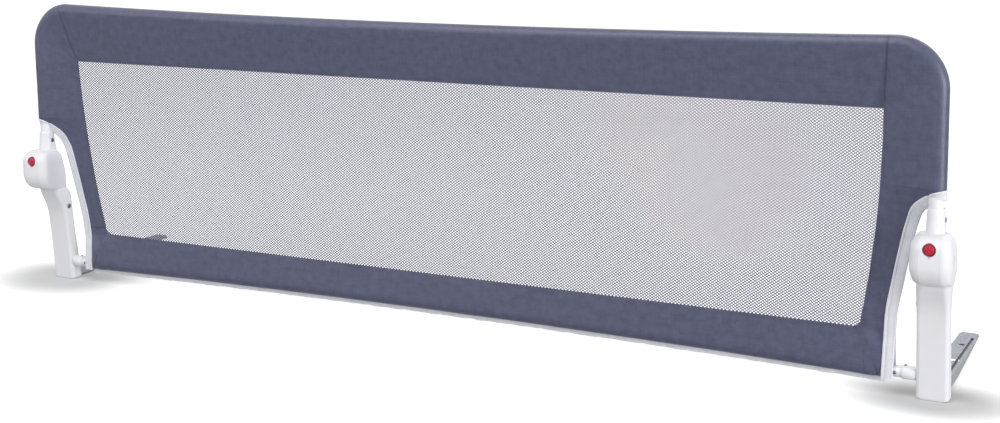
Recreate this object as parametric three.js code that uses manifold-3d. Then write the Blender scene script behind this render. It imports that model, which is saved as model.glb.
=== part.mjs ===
// A folding bed guard rail: a cloth-covered tube frame that swings down in front of two moulded legs.
// X runs along the rail, Y from the room towards the bed, Z up; the feet stand on z = 0.
import * as THREE from 'three';
import { mergeVertices } from 'three/addons/utils/BufferGeometryUtils.js';
import Module from 'manifold-3d';

const wasm = await Module();
wasm.setup();

// Driving dimensions in millimetres.
const railLength = 1320;
const railHeight = 420;
const seatGap = 0.3;
const overrun = 10;
const tubeWall = 1.2;
const frameTubeRadius = 8.5;
const frameCornerRadius = 49;
const cornerTubeReach = 70;
const spigotLength = 30;
const railBow = 7.3;

// The cloth cover, its window and its white binding.
const clothThickness = 1.6;
const clothSlack = 0.6;
const windowDrop = 84;
const windowBottom = 76;
const windowInsetTop = 62;
const windowInsetMiddle = 69;
const windowInsetBottom = 86;
const windowCorner = 12;
const windowLayers = 1.8;
const netThickness = 1;
const netGapWidth = 64;
const netGapHeight = 16;
const netPitchX = 76;
const netPitchZ = 19;
const netBorder = 7;
const bindingWidth = 10;
const bindingHalf = 4;
const hemTapeDrop = 6.5;
const cutoutRise = 77;
const cutoutShoulder = 42;
const cutoutDepth = 60;

// The bottom tube and its ends.
const bottomTubeRadius = 6.8;
const bottomTubeHeight = 28;
const bottomTubeSetback = 27;
const ferruleWall = 1;
const ferruleLength = 16;
const studRadius = 2.4;
const studHeadHeight = 1.2;
const studInset = 46;
const smallScrewRadius = 1.7;
const smallScrewShank = 1;
const smallScrewDepth = 2.4;
const tubeEndReach = 1;

// The hinge head, its knuckle and its button.
const pivotForward = 10;
const pivotHeight = 173;
const pinRadius = 4;
const pinHeadRadius = 6;
const pinHeadHeight = 2;
const headWidth = 48;
const headFront = 25;
const headBack = 28;
const headRise = 29;
const headDrop = 30;
const headTopRound = 16;
const noseRound = 15;
const headCorner = 9;
const headNoseTaper = 1.5;
const headTopTaper = 7;
const headTopSetback = 11;
const headBackInset = 4.5;
const knuckleWidth = 24;
const knuckleRadius = 33;
const neckRise = 27;
const neckFootHalfWidth = 11;
const neckFootHalfDepth = 14;
const neckFootSetback = 1;
const neckTopHalfWidth = 10.2;
const neckTopHalfDepth = 10.8;
const neckCorner = 7;
const neckBoltRise = 14;
const neckBoltRadius = 2;
const neckBoltHeadRadius = 3.4;
const neckBoltHeadHeight = 1;
const tubeSeatRise = 3;
const buttonRise = 15;
const buttonRadius = 7.2;
const buttonFaceRadius = 5.4;
const buttonFaceRise = 2;
const buttonLength = 9;
const buttonTravel = 4;
const buttonProud = 0.5;
const buttonEdgeRound = 0.7;
const buttonRoom = 1;
const buttonMarkWidth = 2.2;
const buttonMarkReach = 9.4;

// The leg below the head and the arm that lies under the mattress.
const legWidth = 37;
const legInset = 3;
const legWall = 2.4;
const legCorner = 5;
const footFront = 20;
const footBack = 41;
const footRound = 3;
const shinFront = 10;
const shinBack = 28;
const noseFillet = 42;
const foldRecessRise = 14;
const legCeiling = 4.8;
const backPlateThickness = 2;
const legScrewRise = 13;
const legScrewDepth = 17;
const legScrewRadius = 2;
const legScrewHeadRadius = 3.6;
const legScrewHeadHeight = 1.2;
const legBossRadius = 5;
const armWidth = 24;
const armReach = 255;
const armSheet = 2;
const armFlange = 15;
const armTaper = 145;
const armUnderside = 16;
const armLimbGap = 5;
const armBendRadius = 5;
const armHoleRadius = 3.5;
const armBeadWidth = 6;
const armBeadHeight = 1.5;
const armEndRound = 7;
const armHoleSetback = 57;
const armBeadSetback = 127;

// Places worked out from the sizes above.
const sleeveRadius = frameTubeRadius + clothSlack + clothThickness;
const hemRadius = bottomTubeRadius + clothSlack + clothThickness;
const tubeX = railLength / 2 - sleeveRadius;
const topAxis = railHeight - sleeveRadius;
const windowTop = railHeight - windowDrop;
const cornerX = tubeX - frameCornerRadius;
const pivotY = -pivotForward;
const headHalf = headWidth / 2;
const frontY = pivotY - headFront;
const noseHeight = pivotHeight - headDrop;
const headTop = pivotHeight + headRise;
const neckTop = headTop + neckRise;
const neckBoltHeight = headTop + neckBoltRise;
const tubeSeatHeight = headTop + tubeSeatRise;
const shinTop = noseHeight - noseFillet;
const buttonHeight = pivotHeight + buttonRise;
const cutoutTop = pivotHeight + cutoutRise;
const legScrewHeight = shinTop + legScrewRise;
const armLimbTop = shinTop - armLimbGap;
const slotHalf = knuckleWidth / 2 + seatGap;
const legHalf = legWidth / 2;
const splitHeight = pivotHeight;

const materials = {
  plastic: new THREE.MeshStandardMaterial({ color: 0xe6e6ea, roughness: 0.45, metalness: 0 }),
  steel: new THREE.MeshStandardMaterial({ color: 0xe4e4e8, roughness: 0.4, metalness: 0.1 }),
  zinc: new THREE.MeshStandardMaterial({ color: 0x9a9fa7, roughness: 0.4, metalness: 0.9 }),
  screw: new THREE.MeshStandardMaterial({ color: 0x6c6e74, roughness: 0.35, metalness: 0.9 }),
  button: new THREE.MeshStandardMaterial({ color: 0xc8203a, roughness: 0.35, metalness: 0 }),
  cloth: new THREE.MeshStandardMaterial({ color: 0x5a5f78, roughness: 0.95, metalness: 0 }),
  net: new THREE.MeshStandardMaterial({ color: 0xc9c9d6, roughness: 0.9, metalness: 0 }),
  binding: new THREE.MeshStandardMaterial({ color: 0xeceef2, roughness: 0.9, metalness: 0 }),
};

// The origin lies under the middle of the whole rail, from the buttons' faces to the arms' ends.
const part = new THREE.Group();
part.name = 'folding_bed_guard_rail';
part.position.y = -(armReach + frontY - buttonProud) / 2;

// Turns a closed geometry into a solid that can be cut and joined.
function toSolid(geometry) {
  const bare = geometry.clone();
  for (const name of Object.keys(bare.attributes)) {
    if (name !== 'position') bare.deleteAttribute(name);
  }
  const merged = mergeVertices(bare);
  const vertProperties = new Float32Array(merged.attributes.position.array);
  const triVerts = new Uint32Array(merged.index.array);
  return new wasm.Manifold(new wasm.Mesh({ numProp: 3, vertProperties, triVerts }));
}

function addPiece(name, piece, material) {
  const source = piece.getMesh();
  const geometry = new THREE.BufferGeometry();
  geometry.setAttribute('position', new THREE.BufferAttribute(new Float32Array(source.vertProperties), 3));
  geometry.setIndex(new THREE.BufferAttribute(new Uint32Array(source.triVerts), 1));
  geometry.computeVertexNormals();
  const mesh = new THREE.Mesh(geometry, material);
  mesh.name = name;
  part.add(mesh);
}

// The outline's two directions and the direction in which each prism is drawn out.
const prismBases = {
  x: [new THREE.Vector3(0, 1, 0), new THREE.Vector3(0, 0, 1), new THREE.Vector3(1, 0, 0)],
  y: [new THREE.Vector3(1, 0, 0), new THREE.Vector3(0, 0, 1), new THREE.Vector3(0, -1, 0)],
  z: [new THREE.Vector3(1, 0, 0), new THREE.Vector3(0, 1, 0), new THREE.Vector3(0, 0, 1)],
};

// Draws an outline out along one axis between two places on it.
function prism(shape, axis, from, to, curveSegments = 8) {
  const settings = { depth: Math.abs(to - from), bevelEnabled: false, curveSegments };
  const geometry = new THREE.ExtrudeGeometry(shape, settings);
  geometry.applyMatrix4(new THREE.Matrix4().makeBasis(...prismBases[axis]));
  const start = axis === 'y' ? Math.max(from, to) : Math.min(from, to);
  geometry.translate(axis === 'x' ? start : 0, axis === 'y' ? start : 0, axis === 'z' ? start : 0);
  return toSolid(geometry);
}

function box(fromX, toX, fromY, toY, fromZ, toZ) {
  const size = [Math.abs(toX - fromX), Math.abs(toY - fromY), Math.abs(toZ - fromZ)];
  const geometry = new THREE.BoxGeometry(...size);
  geometry.translate((fromX + toX) / 2, (fromY + toY) / 2, (fromZ + toZ) / 2);
  return toSolid(geometry);
}

// A round bar along one axis; centre holds its two other coordinates in order.
function bar(axis, centre, radius, from, to, sides = 20) {
  const outline = new THREE.Shape();
  outline.absarc(centre[0], centre[1], radius, 0, 2 * Math.PI);
  return prism(outline, axis, from, to, sides / 2);
}

// Closes a stack of rings, each with the same number of points, into one skin.
function loft(rings) {
  const positions = rings.flat().flatMap((point) => [point.x, point.y, point.z]);
  const count = rings[0].length;
  const index = [];
  for (let level = 0; level < rings.length - 1; level += 1) {
    for (let k = 0; k < count; k += 1) {
      const next = (k + 1) % count;
      const low = level * count;
      const high = low + count;
      index.push(low + k, low + next, high + next, low + k, high + next, high + k);
    }
  }
  const last = (rings.length - 1) * count;
  for (let k = 1; k < count - 1; k += 1) {
    index.push(0, k + 1, k);
    index.push(last, last + k, last + k + 1);
  }
  const geometry = new THREE.BufferGeometry();
  geometry.setAttribute('position', new THREE.Float32BufferAttribute(positions, 3));
  geometry.setIndex(index);
  return toSolid(geometry);
}

// A level ring with rounded corners, between two places on X and two on Y.
function levelRing(fromX, toX, fromY, toY, corner, z, cornerSteps = 3) {
  const points = [];
  const centres = [
    [toX - corner, toY - corner],
    [fromX + corner, toY - corner],
    [fromX + corner, fromY + corner],
    [toX - corner, fromY + corner],
  ];
  centres.forEach(([x, y], quarter) => {
    for (let k = 0; k <= cornerSteps; k += 1) {
      const angle = (quarter + k / cornerSteps) * (Math.PI / 2);
      points.push(new THREE.Vector3(x + corner * Math.cos(angle), y + corner * Math.sin(angle), z));
    }
  });
  return points;
}

// Sweeps a round section along points that lie in a plane of constant y.
function sweep(points, radius, sides = 14) {
  const rings = points.map((point, k) => {
    const before = points[Math.max(k - 1, 0)];
    const after = points[Math.min(k + 1, points.length - 1)];
    const tangent = after.clone().sub(before).normalize();
    const across = new THREE.Vector3(0, 1, 0);
    const normal = across.clone().cross(tangent);
    const ring = [];
    for (let side = 0; side < sides; side += 1) {
      const angle = (side / sides) * 2 * Math.PI;
      const offset = normal.clone().multiplyScalar(Math.cos(angle));
      offset.addScaledVector(across, Math.sin(angle)).multiplyScalar(radius);
      ring.push(point.clone().add(offset));
    }
    return ring;
  });
  return loft(rings);
}

// How far a long tube is pulled off its straight line at x by the stretched cover.
function bowAt(x) {
  return railBow * (1 - Math.min(1, (x / cornerX) ** 2));
}

// The frame's centre line from the tube's lower end up round one corner to a place on the top.
function cornerLine(side, fromHeight, reach) {
  const points = [];
  const bendStart = topAxis - frameCornerRadius;
  const uprightSteps = 3;
  for (let k = 0; k < uprightSteps; k += 1) {
    const height = THREE.MathUtils.lerp(fromHeight, bendStart, k / uprightSteps);
    points.push(new THREE.Vector3(side * tubeX, 0, height));
  }
  const bendSteps = 7;
  for (let k = 0; k <= bendSteps; k += 1) {
    const angle = (k / bendSteps) * (Math.PI / 2);
    const x = cornerX + frameCornerRadius * Math.cos(angle);
    points.push(new THREE.Vector3(side * x, 0, bendStart + frameCornerRadius * Math.sin(angle)));
  }
  const x = cornerX - reach;
  points.push(new THREE.Vector3(side * x, 0, topAxis - bowAt(x)));
  return points;
}

// A bowed centre line out to an end on both sides; rise is -1 for the top tube and 1 for the bottom one.
function bowedLine(end, height, depth, rise) {
  const bowed = Math.min(end, cornerX);
  const xs = spread([-bowed, bowed], [10]);
  if (end > bowed) {
    xs.unshift(-end);
    xs.push(end);
  }
  return xs.map((x) => new THREE.Vector3(x, depth, height + rise * bowAt(x)));
}

// A hollow tube along a centre line, with both ends open.
function hollowTube(points, radius) {
  const first = points[0].clone().add(points[0].clone().sub(points[1]).setLength(seatGap));
  const end = points.length - 1;
  const last = points[end].clone().add(points[end].clone().sub(points[end - 1]).setLength(seatGap));
  return sweep(points, radius).subtract(sweep([first, ...points, last], radius - tubeWall));
}

// The side view of leg and head: height, front, back, half width to each side and corner radius.
function legStations(side) {
  const topCentre = [frontY + headTopRound, headTop - headTopRound];
  const noseCentre = [frontY + noseRound, noseHeight + noseRound];
  const outside = legHalf - legInset;
  const inside = legHalf + legInset;
  const station = (z, front, back, outer, inner, corner) => ({ z, front, back, outer, inner, corner });
  const stations = [
    station(0, footFront + footRound / 2, footBack - footRound,
      outside - footRound, inside - footRound, legCorner),
    station(footRound, footFront, footBack, outside, inside, legCorner),
    station(shinTop, shinFront, shinBack, outside, inside, legCorner),
  ];
  const noseRoot = frontY + 2 * noseRound;
  const backAtNose = pivotY + knuckleRadius;
  const filletHeightShares = [0.36, 0.62, 0.8, 0.93];
  const filletReachShares = [0.3, 0.64, 0.88, 1];
  const swellShares = [0.08, 0.25, 0.45, 0.65];
  filletHeightShares.forEach((share, k) => {
    const swell = swellShares[k];
    stations.push(station(
      shinTop + share * noseFillet,
      THREE.MathUtils.lerp(shinFront, noseRoot, filletReachShares[k]),
      THREE.MathUtils.lerp(shinBack, backAtNose, share ** 2),
      THREE.MathUtils.lerp(outside, headHalf, swell),
      THREE.MathUtils.lerp(inside, headHalf, swell),
      THREE.MathUtils.lerp(legCorner, headCorner, swell),
    ));
  });
  const headBackY = pivotY + headBack;
  const noseAngleShares = [1, 0.67, 0.33, 0];
  noseAngleShares.forEach((share) => {
    const angle = share * (Math.PI / 2);
    const half = headHalf - share * headNoseTaper;
    stations.push(station(
      noseCentre[1] - noseRound * Math.sin(angle),
      noseCentre[0] - noseRound * Math.cos(angle),
      THREE.MathUtils.lerp(headBackY, backAtNose, share),
      half,
      half,
      headCorner,
    ));
  });
  const topAngleShares = [0, 0.33, 0.67, 1];
  topAngleShares.forEach((share) => {
    const angle = share * (Math.PI / 2);
    const turned = 1 - Math.cos(angle);
    const half = headHalf - turned * headTopTaper;
    stations.push(station(
      topCentre[1] + headTopRound * Math.sin(angle),
      topCentre[0] - headTopRound * Math.cos(angle),
      headBackY - headBackInset - turned * headTopSetback,
      half,
      half,
      headCorner,
    ));
  });
  return stations.map((s) => {
    const outerX = side * (tubeX + s.outer);
    const innerX = side * (tubeX - s.inner);
    return { ...s, fromX: Math.min(outerX, innerX), toX: Math.max(outerX, innerX) };
  });
}

function legBody(side, shiftY = 0) {
  const rings = legStations(side).map((s) => (
    levelRing(s.fromX, s.toX, s.front + shiftY, s.back + shiftY, s.corner, s.z)
  ));
  return loft(rings);
}

// The room inside the leg, drawn as an upright opening seen from behind, less a margin.
function legOpening(side, margin) {
  const centre = side * (tubeX - legInset);
  const half = legHalf - legWall - margin;
  const ceiling = pivotHeight - knuckleRadius - legCeiling - margin;
  return box(centre - half, centre + half, frontY, footBack + overrun, legWall + margin, ceiling);
}

function pinBore(side, radius) {
  const fromX = side * (tubeX - headHalf + legWall);
  return bar('x', [pivotY, pivotHeight], radius, fromX, side * (tubeX + headHalf + overrun));
}

// Leg casing: a hollow foot and shin, a web under the knuckle and an ear on each side of it.
function legCasing(side) {
  const room = legBody(side, legWall).intersect(legOpening(side, 0));
  const sweepRadius = knuckleRadius + seatGap;
  const slotFrom = side * tubeX - slotHalf;
  const slotTo = side * tubeX + slotHalf;
  const knuckleRoom = bar('x', [pivotY, pivotHeight], sweepRadius, slotFrom, slotTo, 48);
  const above = box(slotFrom, slotTo, frontY - overrun, footBack, pivotHeight, headTop + overrun);
  const recessFloor = 2 * pivotY + neckFootHalfDepth - neckFootSetback + seatGap;
  const recessBottom = shinTop + foldRecessRise;
  const recess = box(slotFrom, slotTo, frontY - overrun, recessFloor, recessBottom, pivotHeight);
  const innerFace = side * (tubeX - legInset - legHalf);
  const holeRadius = bottomTubeRadius + seatGap;
  const tubeHole = bar('x', [bottomTubeSetback, bottomTubeHeight], holeRadius,
    innerFace - side * overrun, innerFace + side * (legWall + overrun / 2));
  const outerWall = side * (tubeX - legInset + legHalf - legWall);
  const bossEnd = innerFace + side * (legWall + seatGap);
  const boss = bar('x', [legScrewDepth, legScrewHeight], legBossRadius,
    bossEnd, outerWall + side * legWall / 2, 12);
  const screwHole = bar('x', [legScrewDepth, legScrewHeight], legScrewRadius + seatGap,
    innerFace - side * overrun, side * (tubeX - legInset), 10);
  const headSeat = bar('x', [pivotY, pivotHeight], pinHeadRadius + seatGap,
    side * (tubeX + headHalf - pinHeadHeight - seatGap), side * (tubeX + headHalf + overrun));
  let casing = legBody(side).subtract(room).add(boss);
  const pinHole = pinBore(side, pinRadius + seatGap);
  for (const cut of [knuckleRoom, above, recess, tubeHole, screwHole, pinHole, headSeat]) {
    casing = casing.subtract(cut);
  }
  return casing;
}

// The plate that closes the leg from behind, notched for the arm.
function legBackPlate(side) {
  const skin = legBody(side).subtract(legBody(side, -backPlateThickness));
  const centre = side * (tubeX - legInset);
  const notchHalf = armWidth / 2 + seatGap;
  const notch = box(centre - notchHalf, centre + notchHalf, 0, footBack + overrun,
    0, armUnderside + armSheet + seatGap);
  return skin.intersect(legOpening(side, seatGap)).subtract(notch);
}

function pivotPin(side) {
  const inner = side * (tubeX - headHalf + legWall + seatGap);
  const outer = side * (tubeX + headHalf - seatGap);
  const shank = bar('x', [pivotY, pivotHeight], pinRadius, inner, outer);
  const head = bar('x', [pivotY, pivotHeight], pinHeadRadius, outer - side * pinHeadHeight, outer);
  return shank.add(head);
}

// Knuckle: the part of the head between the ears, with the neck that holds the frame's tube.
function knuckle(side) {
  const half = knuckleWidth / 2;
  const slab = bar('x', [pivotY, pivotHeight], knuckleRadius, side * tubeX - half, side * tubeX + half, 48);
  const drum = legBody(side).intersect(slab);
  const rootHeight = headTop - headTopRound;
  const neckHeightShares = [0, 0.3, 0.45, 1];
  const neckFlareShares = [1, 1, 0.85, 0];
  const rings = neckHeightShares.map((share, k) => {
    const flare = neckFlareShares[k];
    const halfX = THREE.MathUtils.lerp(neckTopHalfWidth, neckFootHalfWidth, flare);
    const halfY = THREE.MathUtils.lerp(neckTopHalfDepth, neckFootHalfDepth, flare);
    const centre = side * tubeX;
    const z = THREE.MathUtils.lerp(rootHeight, neckTop, share);
    const centreY = flare * neckFootSetback;
    return levelRing(centre - halfX, centre + halfX, centreY - halfY, centreY + halfY, neckCorner, z);
  });
  const boreRadius = frameTubeRadius + seatGap;
  const tubeBore = bar('z', [side * tubeX, 0], boreRadius, tubeSeatHeight - seatGap, neckTop + overrun);
  const buttonFloor = frontY - buttonProud + buttonLength + buttonTravel + buttonRoom;
  const buttonBore = bar('y', [side * tubeX, buttonHeight], buttonRadius + seatGap,
    frontY - overrun, buttonFloor, 24);
  const mark = box(side * tubeX - buttonMarkWidth / 2, side * tubeX + buttonMarkWidth / 2,
    frontY - overrun, frontY + buttonFaceRise, buttonHeight - buttonMarkReach, buttonHeight);
  const boltHole = bar('x', [0, neckBoltHeight], neckBoltRadius + seatGap,
    side * tubeX - headHalf, side * tubeX + headHalf, 12);
  let piece = drum.add(loft(rings));
  const pinHole = bar('x', [pivotY, pivotHeight], pinRadius + seatGap,
    side * tubeX - headHalf, side * tubeX + headHalf);
  for (const cut of [tubeBore, buttonBore, mark, boltHole, pinHole]) piece = piece.subtract(cut);
  return piece;
}

// A bolt through neck and tube, with a low head on both sides.
function neckBolt(side) {
  const share = (neckBoltHeight - tubeSeatHeight) / (neckTop - tubeSeatHeight);
  const face = THREE.MathUtils.lerp(neckFootHalfWidth, neckTopHalfWidth, share) + seatGap;
  const end = face + neckBoltHeadHeight;
  let bolt = bar('x', [0, neckBoltHeight], neckBoltRadius, side * tubeX - end, side * tubeX + end, 12);
  for (const way of [-1, 1]) {
    const from = side * tubeX + way * face;
    const to = side * tubeX + way * end;
    bolt = bolt.add(bar('x', [0, neckBoltHeight], neckBoltHeadRadius, from, to, 12));
  }
  return bolt;
}

// Push button: a guide skirt with a smaller raised face, drawn as a turned profile.
function button(side) {
  const skirt = buttonLength - buttonFaceRise;
  const profile = [
    new THREE.Vector2(0, 0),
    new THREE.Vector2(buttonRadius, 0),
    new THREE.Vector2(buttonRadius, skirt - buttonEdgeRound),
    new THREE.Vector2(buttonRadius - buttonEdgeRound, skirt),
    new THREE.Vector2(buttonFaceRadius, skirt),
    new THREE.Vector2(buttonFaceRadius, buttonLength - buttonEdgeRound),
    new THREE.Vector2(buttonFaceRadius - buttonEdgeRound, buttonLength),
    new THREE.Vector2(0, buttonLength),
  ];
  const geometry = new THREE.LatheGeometry(profile, 28);
  geometry.rotateX(Math.PI);
  geometry.translate(side * tubeX, frontY - buttonProud + buttonLength, buttonHeight);
  return toSolid(geometry);
}

// Corner tube: up out of the neck, round the corner and into the top tube with a drawn-in end.
function cornerTube(side) {
  const line = cornerLine(side, tubeSeatHeight, cornerTubeReach);
  const tube = hollowTube(line, frameTubeRadius);
  const fromX = cornerX - cornerTubeReach + overrun / 2;
  const toX = cornerX - cornerTubeReach - spigotLength;
  const spigotRadius = frameTubeRadius - tubeWall - seatGap;
  const steps = [fromX, cornerX - cornerTubeReach, toX];
  const spigotLine = steps.map((x) => new THREE.Vector3(side * x, 0, topAxis - bowAt(x)));
  const past = new THREE.Vector3(side * (toX - overrun), 0, topAxis - bowAt(toX));
  const ahead = new THREE.Vector3(side * (fromX + overrun), 0, topAxis - bowAt(fromX));
  const bore = sweep([ahead, ...spigotLine, past], spigotRadius - tubeWall);
  const boltHole = bar('x', [0, neckBoltHeight], neckBoltRadius + seatGap,
    side * tubeX - headHalf, side * tubeX + headHalf, 12);
  const collar = sweep(spigotLine.slice(0, 2), frameTubeRadius);
  return tube.add(collar).add(sweep(spigotLine, spigotRadius)).subtract(bore).subtract(boltHole);
}

function topTube() {
  const end = cornerX - cornerTubeReach - seatGap;
  return hollowTube(bowedLine(end, topAxis, 0, -1), frameTubeRadius);
}

function bottomTube() {
  const end = tubeX - legInset - legHalf + legWall + tubeEndReach;
  const tube = hollowTube(bowedLine(end, bottomTubeHeight, bottomTubeSetback, 1), bottomTubeRadius);
  let drilled = tube;
  for (const side of [-1, 1]) {
    drilled = drilled.subtract(studShank(side, seatGap)).subtract(ferruleShank(side, seatGap));
  }
  return drilled;
}

// Where the end ferrule starts at the leg and stops on the tube.
const ferruleStart = tubeX - legInset - legHalf - seatGap;
const ferruleEnd = ferruleStart - ferruleLength;
const ferruleScrewX = ferruleEnd + 2 * smallScrewRadius;

function ferrule(side) {
  const centre = [bottomTubeSetback, bottomTubeHeight];
  const bore = bottomTubeRadius + seatGap;
  const outer = bar('x', centre, bore + ferruleWall, side * ferruleStart, side * ferruleEnd, 28);
  const inner = bar('x', centre, bore, side * (ferruleStart + overrun), side * (ferruleEnd - overrun), 28);
  return outer.subtract(inner).subtract(ferruleShank(side, seatGap));
}

function ferruleShank(side, margin) {
  const top = bottomTubeHeight + bottomTubeRadius + seatGap + ferruleWall + seatGap;
  return bar('z', [side * ferruleScrewX, bottomTubeSetback], smallScrewShank + margin,
    bottomTubeHeight + bottomTubeRadius - smallScrewDepth, top + margin, 10);
}

function ferruleScrew(side) {
  const top = bottomTubeHeight + bottomTubeRadius + seatGap + ferruleWall + seatGap;
  const head = bar('z', [side * ferruleScrewX, bottomTubeSetback], smallScrewRadius,
    top, top + ferruleWall, 12);
  return ferruleShank(side, 0).add(head);
}

// The stud in the bottom tube that the cover's corner is fixed to.
function studShank(side, margin) {
  const front = bottomTubeSetback - bottomTubeRadius - seatGap;
  const centre = [side * (tubeX - studInset), bottomTubeHeight + bowAt(tubeX - studInset)];
  return bar('y', centre, smallScrewShank + margin, front, front + smallScrewDepth, 10);
}

function coverStud(side) {
  const front = bottomTubeSetback - bottomTubeRadius - seatGap;
  const centre = [side * (tubeX - studInset), bottomTubeHeight + bowAt(tubeX - studInset)];
  return studShank(side, 0).add(bar('y', centre, studRadius, front - studHeadHeight, front, 12));
}

function legScrew(side) {
  const face = side * (tubeX - legInset - legHalf - seatGap);
  const centre = [legScrewDepth, legScrewHeight];
  const shank = bar('x', centre, legScrewRadius, face, side * (tubeX - legInset - legWall), 12);
  const head = bar('x', centre, legScrewHeadRadius, face - side * legScrewHeadHeight, face, 14);
  return shank.add(head);
}

// Bed arm: one folded strip, upright inside the leg and flat under the mattress, with turned-down edges.
function bedArm(side) {
  const centre = side * (tubeX - legInset);
  const half = armWidth / 2;
  const limbBack = bottomTubeSetback - bottomTubeRadius / 2;
  const low = armUnderside;
  const strip = new THREE.Shape();
  strip.moveTo(limbBack - armSheet, armLimbTop);
  strip.lineTo(limbBack - armSheet, low + armBendRadius);
  strip.absarc(limbBack - armSheet + armBendRadius, low + armBendRadius, armBendRadius,
    Math.PI, 1.5 * Math.PI);
  strip.lineTo(armReach, low);
  strip.lineTo(armReach, low + armSheet);
  strip.lineTo(limbBack - armSheet + armBendRadius, low + armSheet);
  strip.absarc(limbBack - armSheet + armBendRadius, low + armBendRadius, armBendRadius - armSheet,
    1.5 * Math.PI, Math.PI, true);
  strip.lineTo(limbBack, armLimbTop);
  let arm = prism(strip, 'x', centre - half, centre + half, 5);
  const rim = new THREE.Shape();
  const rimStart = limbBack + armBendRadius;
  const rimFoot = low + armSheet - armFlange;
  rim.moveTo(rimStart, low + armSheet / 2);
  rim.lineTo(rimStart, rimFoot);
  rim.lineTo(armReach - armTaper, rimFoot);
  rim.lineTo(armReach, low);
  rim.lineTo(armReach, low + armSheet / 2);
  for (const way of [-1, 1]) {
    arm = arm.add(prism(rim, 'x', centre + way * half, centre + way * (half - armSheet), 5));
  }
  const beadY = armReach - armBeadSetback;
  const bead = bar('x', [beadY, low + armSheet / 2], armBeadHeight + armSheet / 2,
    centre - half + armSheet, centre + half - armSheet, 12);
  arm = arm.add(bead.intersect(box(centre - half, centre + half, beadY - armBeadWidth, beadY + armBeadWidth,
    low + armSheet / 2, low + armFlange)));
  arm = arm.subtract(bar('z', [centre, armReach - armHoleSetback], armHoleRadius,
    low - overrun, low + armFlange, 20));
  const straightEnd = armReach - armEndRound;
  let plan = box(centre - half - overrun, centre + half + overrun, frontY, straightEnd, 0, pivotHeight)
    .add(box(centre - half + armEndRound, centre + half - armEndRound, frontY, armReach, 0, pivotHeight));
  for (const way of [-1, 1]) {
    plan = plan.add(bar('z', [centre + way * (half - armEndRound), straightEnd], armEndRound, 0, pivotHeight, 32));
  }
  return arm.intersect(plan);
}

// How far back the cover's middle plane lies at a height: it leans from the top to the bottom tube.
const coverLean = bottomTubeSetback / (topAxis - bottomTubeHeight);

function leanAt(z) {
  return coverLean * (topAxis - z);
}

// The cut-out beside each leg: places as shares of its depth and of its height below the top.
const cutoutDepthShares = [-0.4, 0.02, 0.42, 0.57, 0.68, 0.83, 0.96, 1];
const cutoutHeightShares = [1.0, 0.985, 0.92, 0.84, 0.735, 0.555, 0.37, 0.07];

// Points down one cut-out's edge, moved outwards across the edge by an offset.
function cutoutEdge(side, offset) {
  const anchors = cutoutDepthShares.map((share, k) => (
    new THREE.Vector2(tubeX - share * cutoutDepth, cutoutHeightShares[k] * cutoutTop)
  ));
  const curve = new THREE.SplineCurve(anchors);
  const steps = 22;
  const points = [];
  for (let k = 0; k <= steps; k += 1) {
    const point = curve.getPoint(k / steps);
    const tangent = curve.getTangent(k / steps);
    points.push(new THREE.Vector2(side * (point.x - offset * tangent.y), point.y + offset * tangent.x));
  }
  return points;
}

// Everything outside the cut-out's edge, as a prism through the cover.
function cutoutPrism(side, offset) {
  const edge = cutoutEdge(side, offset);
  const far = side * (tubeX + cutoutDepth);
  const shape = new THREE.Shape();
  shape.moveTo(far, edge[0].y);
  edge.forEach((point) => shape.lineTo(point.x, point.y));
  shape.lineTo(edge[edge.length - 1].x, -overrun);
  shape.lineTo(far, -overrun);
  return prism(shape, 'y', -railHeight, railHeight, 1);
}

// The window's outline, drawn in by a margin: narrower towards the bottom, with rounded lower corners.
function windowShape(margin) {
  const top = windowTop - margin;
  const bottom = windowBottom + margin;
  const sideCurve = new THREE.SplineCurve([
    new THREE.Vector2(tubeX - windowInsetTop - margin, top),
    new THREE.Vector2(tubeX - windowInsetMiddle - margin, (windowTop + windowBottom) / 2),
    new THREE.Vector2(tubeX - windowInsetBottom - margin, bottom + windowCorner),
  ]);
  const right = sideCurve.getPoints(6);
  const inner = tubeX - windowInsetBottom - windowCorner - margin;
  const cornerCurve = new THREE.QuadraticBezierCurve(
    right[right.length - 1],
    new THREE.Vector2(tubeX - windowInsetBottom - margin, bottom),
    new THREE.Vector2(inner, bottom),
  );
  const outline = [...right, ...cornerCurve.getPoints(4).slice(1)];
  const left = outline.map((point) => new THREE.Vector2(-point.x, point.y)).reverse();
  return new THREE.Shape([...outline, ...left]);
}

// A closed skin over a grid in X and Z, with its own middle plane and half thickness at each place.
function gridSolid(xs, zs, middleAt, halfAt) {
  const positions = [];
  const face = (way) => zs.forEach((z) => xs.forEach((x) => {
    positions.push(x, middleAt(x, z) + way * halfAt(x, z), z);
  }));
  face(-1);
  face(1);
  const columns = xs.length;
  const count = columns * zs.length;
  const at = (row, column) => row * columns + column;
  const index = [];
  const quad = (a, b, c, d) => index.push(a, b, c, a, c, d);
  for (let row = 0; row < zs.length - 1; row += 1) {
    for (let column = 0; column < columns - 1; column += 1) {
      const corners = [at(row, column), at(row, column + 1), at(row + 1, column + 1), at(row + 1, column)];
      quad(...corners);
      quad(...corners.map((k) => k + count).reverse());
    }
  }
  const rows = zs.length - 1;
  for (let column = 0; column < columns - 1; column += 1) {
    quad(at(0, column + 1), at(0, column), at(0, column) + count, at(0, column + 1) + count);
    quad(at(rows, column), at(rows, column + 1), at(rows, column + 1) + count, at(rows, column) + count);
  }
  for (let row = 0; row < rows; row += 1) {
    quad(at(row, 0), at(row + 1, 0), at(row + 1, 0) + count, at(row, 0) + count);
    const high = at(row + 1, columns - 1);
    const low = at(row, columns - 1);
    quad(high, low, low + count, high + count);
  }
  const geometry = new THREE.BufferGeometry();
  geometry.setAttribute('position', new THREE.Float32BufferAttribute(positions, 3));
  geometry.setIndex(index);
  return toSolid(geometry);
}

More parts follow.
